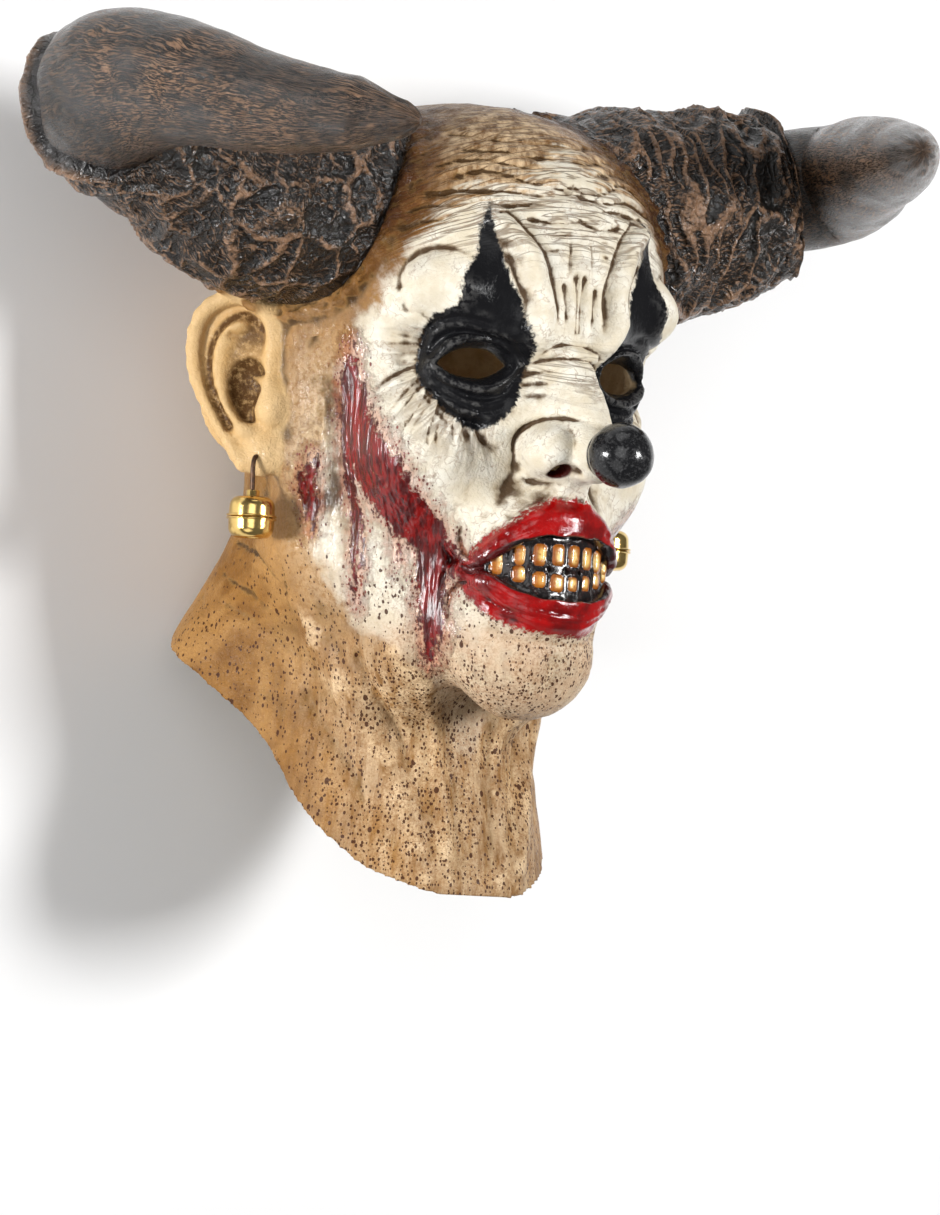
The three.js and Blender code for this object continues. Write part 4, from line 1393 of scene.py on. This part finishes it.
eye_streaks = noise_texture(scaled(eye_map, (0.55, 0.06, 1.0)), 1.0, 4.0, 0.6)
patch_edge = field(tree, "eye_patch") + (eye_streaks - 0.5) * 3.4
black = paint_edge(where, distance=patch_edge, scale=480.0, ragged=2.3, soft=1.4)
worn_black = stretch(crease_depth, -0.2, -0.75) * stretch(patchy, 0.42, 0.6)
black_colour = mixed(worn_black * 0.8, (0.007, 0.007, 0.008), (0.075, 0.073, 0.071))
colour = mixed(black, colour, black_colour)
print("spatter and black:", len(tree.nodes), "nodes")

# %% [markdown]
# Red goes on last: clean on the lips, and as a smear with runs and a fine spray on the cheek. The
# mouth, the ball and the nostrils are closed with dark paint, and the inside stays bare and pale.

# %% Red paint, dark openings and bare inside
lips_red = paint_edge(where, distance=field(tree, "lip_paint"), scale=480.0, ragged=3.4, soft=1.8)
blood_edge = field(tree, "blood") + (drips - 0.5) * 9.0
blood_red = paint_edge(where, distance=blood_edge, scale=480.0, ragged=6.0, soft=2.2)
spray = spatter(where, scale=1050.0, size=0.6, share=stretch(blood_edge, 9.0, 0.0, 0.0, 0.8))
blood_red = larger(blood_red, spray * 0.85)
stain = paint_edge(where, distance=blood_edge - 4.0, scale=300.0, ragged=8.0, soft=8.0)
red = larger(lips_red, blood_red)
lip_colour = mixed(stretch(mottle, 0.3, 0.66), (0.11, 0.0012, 0.0012), (0.34, 0.003, 0.003))
blood_colour = mixed(stretch(drips, 0.4, 0.62), (0.055, 0.0007, 0.0005), (0.19, 0.0022, 0.0015))
red_colour = mixed(lips_red, blood_colour, lip_colour)
# darker red in the creases: paint pooled there, and painted shade
red_colour = mixed(stretch(crease_depth, 0.15, 0.9), red_colour, (0.022, 0.001, 0.001))

mouth_dark = stretch(field(tree, "mouth_gap"), 1.0, 0.2)
mouth_colour = mixed(stretch(aside, 21.0, 28.0), (0.01, 0.007, 0.007), (0.07, 0.002, 0.002))
ball_mask = stretch(field(tree, "ball"), 1.2, 0.7)
ball_colour = mixed(stretch(grainy, 0.5, 0.66), (0.007, 0.007, 0.008), (0.045, 0.045, 0.046))
nostril_mask = stretch(field(tree, "nostril"), 1.4, 0.4)
raw = field(tree, "inner_side") * (1.0 - mouth_dark)
raw_colour = mixed(stretch(mottle, 0.35, 0.65), (0.55, 0.4, 0.23), (0.7, 0.56, 0.37))
colour = laid_over(colour,
                   (stain * 0.45, (0.5, 0.14, 0.07)),
                   (red, red_colour),
                   (mouth_dark, mouth_colour),
                   (ball_mask, ball_colour),
                   (nostril_mask, (0.045, 0.004, 0.002)),
                   (raw, raw_colour))
print("red and openings:", len(tree.nodes), "nodes")

# %% [markdown]
# The same masks say how glossy each place is: paint and dirt shine, bare latex hardly does. The relief
# holds pores, fine lines and dried runs. The gloss coat has a smoother relief of its own, so that it
# catches the lights in separate runs.

# %% Gloss and relief of the skin
dry = stretch(patchy, 0.3, 0.7, 0.28, 0.5)
wet = stretch(patchy, 0.35, 0.65, 0.12, 0.26)
shiny = larger(red, stain * 0.9, black, horn_dirt_and_shade * 0.8, mouth_dark)
rough = blended(larger(shiny, deep_wash_and_shade * 0.6), dry, wet)
rough = blended(ball_mask, rough, stretch(grainy, 0.4, 0.65, 0.22, 0.38))
gleam = shine * stretch(blotch, 0.36, 0.56, 0.35, 1.0)
coat = larger(lips_red, gleam, ball_mask * 0.8, blood_red, stain * 0.8, black * 0.18)

relief_map = pores(where, scale=620.0) * 0.34 + patchy * 0.22 - lines * 0.45 - net_lines * 0.08
relief_map = relief_map + (drips + patchy) * shine * 1.6
relief_map = relief_map + soft_drips * larger(blood_red, stain) * 4.0
relief_map = relief_map + brow_streaks * on_brow * 0.45
relief_map = relief_map * stretch(larger(black, red, ball_mask), 0.0, 1.0, 1.0, 0.4)
relief_map = relief_map * stretch(ball_mask, 0.0, 1.0, 1.0, 0.45)

runs = stretch(field(tree, "blood"), 8.0, 3.0) * 1.6 + shine * 2.6
to_paint = smaller(field(tree, "eye_patch"), field(tree, "lip_paint"))
grain_share = smaller(stretch(to_paint, 1.0, -1.0, 0.5, 0.3), stretch(ball_mask, 0.0, 1.0, 1.0, 0.18))
coat_relief = (grainy * 0.34 + patchy * 0.22) * grain_share + soft_drips * runs

plug(shader, {"Base Color": colour, "Roughness": blended(raw, rough, 0.75),
              "Coat Weight": coat * (1.0 - raw), "Coat Roughness": 0.04, "Coat IOR": 1.42,
              "Specular IOR Level": 0.1, "Normal": bumped(relief_map, 0.001, 0.8),
              "Coat Normal": bumped(coat_relief, 0.001, 0.8)})
skin.data.materials.clear()
skin.data.materials.append(painted_skin)
print("painted skin has", len(tree.nodes), "nodes")

# %% [markdown]
# The teeth are amber, pale in the middle and brown at the root and edge, partly stain and partly
# painted shade, and the gums are black and wet. One material does both, because each point knows how
# far it is from a tooth.

# %% Stained teeth with painted shade
stained_and_shaded_teeth, tree, shader = new_material("stained_and_shaded_teeth")
where = object_places(tree)
cloud = noise_texture(where, 420.0, 5.0, 0.6)
speck = noise_texture(where, 1100.0, 4.0, 0.7)
edge = field(tree, "rim") + (cloud - 0.5) * 0.5
# brown towards the edge and the root of each tooth: stain, and partly painted shade
amber = mixed(stretch(edge, 0.2, 0.9), (0.8, 0.52, 0.16), (0.25, 0.068, 0.008))
amber = laid_over(amber,
                  (stretch(field(tree, "root"), 0.0, 0.9) * 0.5, (0.42, 0.12, 0.012)),
                  (stretch(field(tree, "seed"), 0.55, 1.0) * 0.55, (0.5, 0.17, 0.02)),
                  (stretch(cloud, 0.54, 0.64) * 0.75, (0.33, 0.095, 0.01)))
on_tooth = stretch(field(tree, "tooth"), 0.25, 0.0) * stretch(edge, 1.3, 1.12)
gum = mixed(stretch(cloud, 0.45, 0.7), (0.006, 0.004, 0.004), (0.03, 0.012, 0.01))
plug(shader, {"Base Color": mixed(on_tooth, gum, amber), "Roughness": stretch(speck, 0.3, 0.7, 0.1, 0.26),
              "Coat Weight": 0.5, "Coat Roughness": 0.05, "Specular IOR Level": 0.3,
              "Normal": bumped(cloud, 0.0005, 0.7)})
teeth.data.materials.append(stained_and_shaded_teeth)
print("teeth and gums painted")

# %% [markdown]
# Each horn is a hollow casting in two stages: a thick sleeve like old bark, which ends in a rolled
# lip, and a smooth pointed horn that comes out of it. Rings are laid along the centre line, each
# point is pushed in or out for the bark, and the first ring follows the surface of the head.

# %% Horn surface
HORN_RINGS, HORN_AROUND, INNER_RINGS = 330, 190, 46
HORN_WALL = 3.5
HEAD_GAP = 0.3


def unit(rows):
    return rows / np.linalg.norm(rows, axis=1)[:, None]


def line_length(horn):
    """length of the centre line, mm"""
    steps = np.diff(centre_line(horn["path"], np.linspace(0, 1, 200)), axis=0)
    return np.linalg.norm(steps, axis=1).sum()


def horn_surface(horn, places, angles, radius):
    """points at places along the centre line and angles round it, at the given distance from it"""
    stops = np.linspace(0, 1, 400)
    line = centre_line(horn["path"], stops)
    ahead = unit(np.gradient(line, axis=0))
    across = unit(np.cross(ahead, (0, 0, 1)))
    over = np.cross(across, ahead)

    def read(rows):
        return np.stack([np.interp(places, stops, rows[:, n]) for n in range(3)], -1)

    outward = read(across) * np.sin(angles)[..., None] + read(over) * np.cos(angles)[..., None]
    return read(line) + outward * radius[..., None]


def horn_radius(horn, places, thinner=0.0):
    """plain radius of the sleeve and of the horn that comes out of it"""
    end = horn["sleeve_end"]
    sleeve = np.interp(places, np.linspace(0, end, len(horn["sleeve"])), horn["sleeve"]) - thinner
    stops = end + (1 - end) * np.append(np.arange(7) / 7, (0.92, 0.965, 0.99, 1.0))
    tip = np.interp(places, stops, (*horn["horn"], 9.0, 6.2, 3.4, 0.8)) - thinner
    return sleeve, np.maximum(tip, 0.3)


for side, horn in HORNS.items():
    print(side, "horn is", round(line_length(horn)), "mm long on its centre line")

# %% [markdown]
# Old bark breaks into plates with raised borders. The borders come from a cell pattern: every place
# knows its two nearest cell middles, and where both are as near, a border runs.

# %% Bark
def cell_borders(points, size, seed):
    """how near a border between rounded cells of this size is, 0 to 1"""
    places = (points / size + seed).tolist()
    found = np.array([noise.voronoi(q, distance_metric="DISTANCE")[0][:2] for q in places])
    return np.exp(-((found[:, 1] - found[:, 0]) / 0.15) ** 2)


def bark(points, seed, cells):
    """how near a ridge is, 0 to 1: strong ridges between large cells, weaker ones between small cells"""
    bent = points + 5.0 * np.stack([noise_at(points + (seed + n * 31), 22, 3) for n in range(3)], 1)
    strong = cell_borders(bent, np.array(cells), seed) * (0.65 + 0.5 * noise_at(points + (seed + 9), 20, 2))
    share = np.clip(0.25 + 0.7 * noise_at(points + (seed + 17), 30, 2), 0, 0.6)
    return np.clip(np.maximum(strong, cell_borders(bent, 9.0, seed + 5) * share), 0, 1)


def outer_rings(horn, first, gap, angles):
    """points of the outside ring by ring, their places along the horn, and the fields for its finish"""
    end, seed = horn["sleeve_end"], horn["seed"]
    even = np.linspace(0, 1, HORN_RINGS)[:, None]
    places = first + (1 - first) * even
    turned = np.broadcast_to(angles, places.shape)
    wave = 0.010 * np.sin(3 * turned + seed) + 0.006 * np.sin(7 * turned + 2 * seed)
    past = (places - end - wave) * line_length(horn)            # mm past the edge of the sleeve
    in_sleeve = np.clip(0.5 - past / 0.8, 0, 1)
    on_horn = 1 - in_sleeve
    sleeve, tip = horn_radius(horn, places)
    lip = 2.2 * np.exp(-((past + 2.2) / 1.9) ** 2)
    groove = 3.6 * np.exp(-((past - 1.5) / 2.4) ** 2)
    along = (places - first) * line_length(horn)
    radius = in_sleeve * (sleeve + lip) + on_horn * (np.minimum(tip, sleeve - 3) - groove)
    radius = radius - gap * np.exp(-along / 18)                 # the foot bends down to the head

    points = horn_surface(horn, places, turned, radius).reshape(-1, 3)
    ridge = bark(points, seed, horn["cells"]).reshape(places.shape)
    lump = noise_at(points + (seed + 3), 26, 3).reshape(places.shape)
    small = noise_at(points + (seed + 5), 5, 3).reshape(places.shape)
    rough = in_sleeve * np.clip(even / 0.03, 0.25, 1) * np.clip(-past / 3 - 0.2, 0.25, 1)
    rough = rough * (horn["bark"] * ridge - 1.6 + 1.6 * lump + 0.6 * small)
    smooth = on_horn * (0.8 * lump + 0.15 * small) * np.clip(past / 12, 0, 1)
    crumple = on_horn * 0.42 * ramp(places, 0.93, 0.98) * np.sin(9 * turned + 6 * lump)
    rows = horn_surface(horn, places, turned, np.maximum(radius + rough + smooth + crumple, 0.4))
    return rows, places, {"ridge": ridge * in_sleeve, "sleeve": in_sleeve, "past_lip": past, "foot": along}


print("bark ready: plates of", [horn["cells"] for horn in HORNS.values()], "mm")

# %% [markdown]
# A horn, a turned cup and a bent wire are all rings of points with faces between them, so one helper
# makes the faces. On the horn the rings go up the outside and come back down the hollow.

# %% Horn meshes
def ring_faces(rings, around, joined_up=False, open_after=None):
    """four-sided faces between rings of points; joined_up ties the last ring to the first"""
    faces = []
    for ring in range(rings if joined_up else rings - 1):
        if ring == open_after:
            continue
        here, there = ring * around, (ring + 1) % rings * around
        for step in range(around):
            beside = (step + 1) % around
            faces.append((here + step, here + beside, there + beside, there + step))
    return faces


def smoothed_ring(values):
    for _ in range(2):
        values = (np.roll(values, 1) + 2 * values + np.roll(values, -1)) / 4
    return values


def where_it_starts(horn, side, angles):
    """for each line along the horn, where it leaves the head, and the gap that is left there"""
    tries = np.linspace(0, 0.55, 140)
    places, turned = np.meshgrid(tries, angles)
    tested = np.moveaxis(horn_surface(horn, places, turned, horn_radius(horn, places)[0]), -1, 0)
    clearance = np.minimum(body_form(tested), ear_form(ear_axes(side)(tested)))
    inside = clearance < HEAD_GAP
    last_inside = len(tries) - 1 - np.argmax(inside[:, ::-1], axis=1)
    start = np.where(inside.any(axis=1), last_inside, np.argmin(clearance, axis=1))
    gap = np.maximum(clearance[np.arange(len(angles)), start] - HEAD_GAP, 0)
    return smoothed_ring(tries[start]), smoothed_ring(gap)


def inner_rings(horn, first, angles):
    """points of the hollow from near the tip back to the foot, and their places along the horn"""
    end = horn["sleeve_end"]
    deepest = end + (1 - end) * 0.7
    places = first + (deepest - first) * np.linspace(1, 0, INNER_RINGS)[:, None]
    sleeve, tip = horn_radius(horn, places, HORN_WALL)
    radius = np.where(places < end - 0.04, sleeve - 3, np.minimum(sleeve - 3, tip))
    return horn_surface(horn, places, np.broadcast_to(angles, places.shape), radius), places


horns = []
for name, side in SIDES.items():
    horn = HORNS[name]
    angles = np.linspace(0, 2 * pi, HORN_AROUND, endpoint=False)
    first, gap = where_it_starts(horn, side, angles)
    outer, outer_places, outer_fields = outer_rings(horn, first, gap, angles)
    inner, inner_places = inner_rings(horn, first, angles)
    rings = HORN_RINGS + INNER_RINGS
    faces = ring_faces(rings, HORN_AROUND, joined_up=True, open_after=HORN_RINGS - 1)
    faces.append(np.arange(HORN_AROUND) + (HORN_RINGS - 1) * HORN_AROUND)          # closes the tip
    faces.append((np.arange(HORN_AROUND) + HORN_RINGS * HORN_AROUND)[::-1])        # closes the hollow
    rows = np.concatenate([outer, inner]).reshape(-1, 3)
    made = make_object("bark_horn_" + name, rows, faces)

    outer_fields["inner_side"] = np.zeros(outer_places.shape)
    in_hollow = {"ridge": 0, "sleeve": 0, "past_lip": 99, "foot": 0, "inner_side": 1}
    fields = {key: np.append(outer_fields[key], np.full(inner_places.shape, value))
              for key, value in in_hollow.items()}
    turned = np.tile(angles, rings)
    along = np.append(outer_places, inner_places) * line_length(horn)
    grain = np.stack([np.cos(turned) * 25, np.sin(turned) * 25, along], 1)
    store(made.data, crease=sunk_below(*mesh_arrays(made.data), 4), grain=grain, **fields)
    hand_in(made, "horn_" + name)
    horns.append(made)
    print(made.name, len(rows), "points")

# %% [markdown]
# The horns are painted black, gloss in the hollows, and dry-brushed with tan on everything that
# stands up. The groove past the sleeve's lip and the foot against the head are laid near-black, which
# is partly painted shade. The smooth part has fine scratches along it, so its noise is stretched along
# the horn.

# %% Bark and horn finish
GROOVE_BLACK_AND_SHADE = (0.008, 0.007, 0.007)

horn_paint, tree, shader = new_material("horn_paint")
grain = field(tree, "grain", "Vector")
where = object_places(tree)
bend = noise_texture(grain, 0.035, 3.0)
bend_sideways = node(tree, "ShaderNodeCombineXYZ", {"X": bend * 14.0, "Y": bend * -14.0})
wavy_grain = moved(scaled(grain, (1.0, 1.0, 0.13)), Value(bend_sideways.outputs[0]))
scratches = noise_texture(wavy_grain, 1.7, 5.0, 0.62)
hair_lines = noise_texture(wavy_grain, 2.6, 4.0, 0.7)
blotch = noise_texture(where, 45.0, 5.0, 0.6)
speck = noise_texture(where, 380.0, 5.0, 0.7)
in_sleeve = field(tree, "sleeve")
past_lip = field(tree, "past_lip")
raised = stretch(field(tree, "crease") * -1.0 + (speck - 0.5), 0.12, 0.55)
on_ridge = stretch(field(tree, "ridge") + (speck - 0.5) * 1.6, 0.5, 0.86)
brushed_bark = larger(larger(raised, on_ridge) * 0.9,
                      stretch(scratches, 0.53, 0.6) * stretch(blotch, 0.4, 0.58, 0.1, 0.8))
brushed_horn = stretch(scratches, 0.49, 0.57) * stretch(blotch, 0.38, 0.6, 0.32, 1.0)
brushed_horn = brushed_horn * stretch(past_lip, 4.0, 50.0, 0.35, 1.0)
brushed = blended(in_sleeve, brushed_horn, brushed_bark)
dark = mixed(stretch(blotch, 0.35, 0.65), (0.004, 0.0035, 0.003), (0.014, 0.01, 0.0075))
tan_brush = mixed(stretch(speck, 0.3, 0.7), (0.16, 0.082, 0.04), (0.37, 0.215, 0.125))
colour = mixed(brushed * 0.85, dark, tan_brush)
# near-black in the groove past the lip and at the foot against the head: no tan brush there, and painted
# shade
lip_black_and_shade = stretch(past_lip, 5.0, 1.0) * stretch(past_lip, -1.6, 0.2)
horn_base_black_and_shade = stretch(field(tree, "foot"), 7.0, 1.0)
colour = laid_over(colour,
                   (lip_black_and_shade * 0.95, GROOVE_BLACK_AND_SHADE),
                   (horn_base_black_and_shade * 0.8, GROOVE_BLACK_AND_SHADE),
                   (field(tree, "inner_side"), (0.1, 0.085, 0.07)))
wet = larger(in_sleeve * stretch(brushed, 0.5, 0.1), lip_black_and_shade)
rough = blended(wet, stretch(scratches, 0.35, 0.65, 0.22, 0.36), stretch(speck, 0.3, 0.7, 0.1, 0.24))
shaken = moved(where, scaled(noise_texture(where, 90.0, 3.0, 0.5, output="Color"), (0.012, 0.012, 0.012)))
cracks = stretch(border_distance(shaken, 190.0), 0.16, 0.0)
grain_height = scratches + hair_lines * 0.6 + cracks * in_sleeve * 1.3 + speck * in_sleeve * 0.8
plug(shader, {"Base Color": colour, "Roughness": rough, "Specular IOR Level": 0.25,
              "Coat Weight": stretch(blotch, 0.35, 0.65, 0.9, 0.4), "Coat IOR": 1.4, "Coat Roughness": 0.16,
              "Normal": bumped(grain_height, 0.001, 0.7), "Coat Normal": bumped(grain_height, 0.001, 0.42)})
for horn in horns:
    horn.data.materials.append(horn_paint)
print("horn paint has", len(tree.nodes), "nodes")

# %% [markdown]
# A bell is pressed from two brass cups that meet at a thin flange, so each cup is its own lathed
# shell with a true thin wall. The upper one has a sunk cap and an eyelet that the wire goes through.

# %% Bells
BELL_RADIUS, BELL_HALF_HEIGHT, BELL_WALL = 8.7, 8.0, 0.7
FLANGE_RADIUS, FLANGE_THICKNESS, SEAM = 9.7, 0.8, 0.15
EYELET_RADIUS, EYELET_BORE, EYELET_HEIGHT = 2.6, 1.7, 2.4
EAR_HOLE = (-6, -27.5)
HANG_Y = -7
BELL_CENTRE_IN_EAR = (-6, HANG_Y, -50.5)
LATHE_STEPS = 72


def from_ear(side, point):
    """a place in the ear's own axes as a worn place"""
    x, y, z = point
    y, z = y * cos(EAR_LEAN) - z * sin(EAR_LEAN), y * sin(EAR_LEAN) + z * cos(EAR_LEAN)
    return (side * EAR_PLACE[0] + side * (x * cos(EAR_TURN) - y * sin(EAR_TURN)),
            EAR_PLACE[1] + x * sin(EAR_TURN) + y * cos(EAR_TURN), EAR_PLACE[2] + z)


def arc(centre, radius, start, stop, steps):
    return [(centre[0] + radius * cos(radians(a)), centre[1] + radius * sin(radians(a)))
            for a in np.linspace(start, stop, steps)]


def bell_outline(upper):
    """closed outline of one cup, as radius and height"""
    r, h, w = BELL_RADIUS, BELL_HALF_HEIGHT, BELL_WALL
    bulge = 3.9
    flange_top, eyelet_top = SEAM + FLANGE_THICKNESS, h + EYELET_HEIGHT
    line = [(FLANGE_RADIUS - 0.25, SEAM), (FLANGE_RADIUS, SEAM + 0.25), (FLANGE_RADIUS, flange_top - 0.25),
            (FLANGE_RADIUS - 0.3, flange_top), (r + 0.15, flange_top + 0.1)]
    line += arc((r - bulge, h - bulge), bulge, 0, 74, 9)
    line += [(r - bulge - 0.4, h - 0.25), (r - bulge - 0.9, h - 0.9), (EYELET_RADIUS + 0.5, h - 0.9)]
    if upper:
        line += [(EYELET_RADIUS, h - 0.4), (EYELET_RADIUS, eyelet_top - 0.4),
                 (EYELET_RADIUS - 0.3, eyelet_top), (EYELET_BORE + 0.1, eyelet_top),
                 (EYELET_BORE, eyelet_top - 0.3)]
    else:
        line += [(EYELET_BORE, h - 0.9)]
    line += [(EYELET_BORE, h - 0.9 - w), (r - bulge - 0.6, h - 0.9 - w)]
    line += [(x - w, z - w) for x, z in arc((r - bulge + 0.35, h - bulge + 0.1), bulge - 0.3, 70, 0, 7)]
    return line + [(r - w, SEAM)]


def lathed(outline, flip):
    """points and faces of a closed outline turned about the upright axis"""
    turns = np.linspace(0, 2 * pi, LATHE_STEPS, endpoint=False)
    rows = [(x * cos(a), x * sin(a), flip * z) for a in turns for x, z in outline]
    faces = ring_faces(LATHE_STEPS, len(outline), joined_up=True)
    return np.array(rows), [face[::-1] for face in faces] if flip > 0 else faces


bells = []
for name, side in SIDES.items():
    centre = np.array(from_ear(side, BELL_CENTRE_IN_EAR))
    for half, flip in (("upper", 1), ("lower", -1)):
        rows, faces = lathed(bell_outline(half == "upper"), flip)
        cup = make_object(f"brass_cup_{name}_{half}", rows + centre, faces)
        cup.data.set_sharp_from_angle(angle=radians(50))
        hand_in(cup, f"bell_{name}_{half}")
        bells.append(cup)
print(len(bells), "brass cups, bell", round(2 * FLANGE_RADIUS, 1), "mm wide")

# %% [markdown]
# A bent wire carries each bell: it comes up out of the eyelet, through the pierced lobe, and turns
# down behind it. It is a tube of rings along a smooth line.

# %% Ear wires
WIRE_RADIUS = 0.9
WIRE_RINGS, WIRE_AROUND = 64, 14
HANG_TOP = BELL_CENTRE_IN_EAR[2] + BELL_HALF_HEIGHT + EYELET_HEIGHT


def wire_line():
    x, z = EAR_HOLE
    line = ((HANG_Y, HANG_TOP - 1.8), (HANG_Y, HANG_TOP + 3), (HANG_Y, z - 3), (HANG_Y + 1.5, z), (0, z),
            (-HANG_Y - 1, z - 0.5), (-HANG_Y, z - 4))
    return centre_line([(x, y, height) for y, height in line], np.linspace(0, 1, WIRE_RINGS))


def tube(line, radius, around):
    """a closed round tube along a line that stays in one upright plane"""
    aside = np.array((1.0, 0, 0))
    over = np.cross(unit(np.gradient(line, axis=0)), aside)
    turns = np.linspace(0, 2 * pi, around, endpoint=False)
    sizes = np.full(len(line), radius)
    sizes[[0, -1]] *= 0.5                                       # the ends are drawn in
    rows = [middle + size * (aside * cos(a) + up * sin(a)) for middle, size, up in zip(line, sizes, over)
            for a in turns]
    faces = ring_faces(len(line), around)
    faces += [tuple(range(around))[::-1], tuple(range(len(rows) - around, len(rows)))]
    return np.array(rows), faces


wires = []
for name, side in SIDES.items():
    rows, faces = tube(wire_line(), WIRE_RADIUS, WIRE_AROUND)
    faces = faces if side > 0 else [face[::-1] for face in faces]
    wire = make_object("ear_wire_" + name, [from_ear(side, row) for row in rows], faces)
    hand_in(wire, "hook_" + name)
    wires.append(wire)
print(len(wires), "ear wires")

# %% [markdown]
# The brass is polished and lacquered, a little tarnished where fingers leave it alone and finely
# scratched round the belly. The wire is plain annealed iron, brown and dull.

# %% Brass and wire
brass, tree, shader = new_material("polished_brass")
where = object_places(tree)
cloud = noise_texture(where, 300.0, 5.0, 0.6)
fine_scratch = noise_texture(scaled(where, (1.0, 7.0, 1.0)), 1100.0, 5.0, 0.7)
tarnish = stretch(cloud, 0.52, 0.75)
plug(shader, {"Base Color": mixed(tarnish, (0.8, 0.56, 0.2), (0.45, 0.26, 0.07)), "Metallic": 1.0,
              "Roughness": stretch(fine_scratch, 0.3, 0.8, 0.1, 0.22) + tarnish * 0.12,
              "Normal": bumped(fine_scratch, 0.00004, 0.5)})
for cup in bells:
    cup.data.materials.append(brass)

wire_iron, tree, shader = new_material("brown_wire")
where = object_places(tree)
rust = noise_texture(where, 700.0, 5.0, 0.65)
brown = mixed(stretch(rust, 0.4, 0.65), (0.055, 0.03, 0.018), (0.16, 0.085, 0.045))
plug(shader, {"Base Color": brown, "Metallic": 0.6, "Roughness": stretch(rust, 0.3, 0.7, 0.35, 0.6)})
for wire in wires:
    wire.data.materials.append(wire_iron)
print("brass and wire finished")
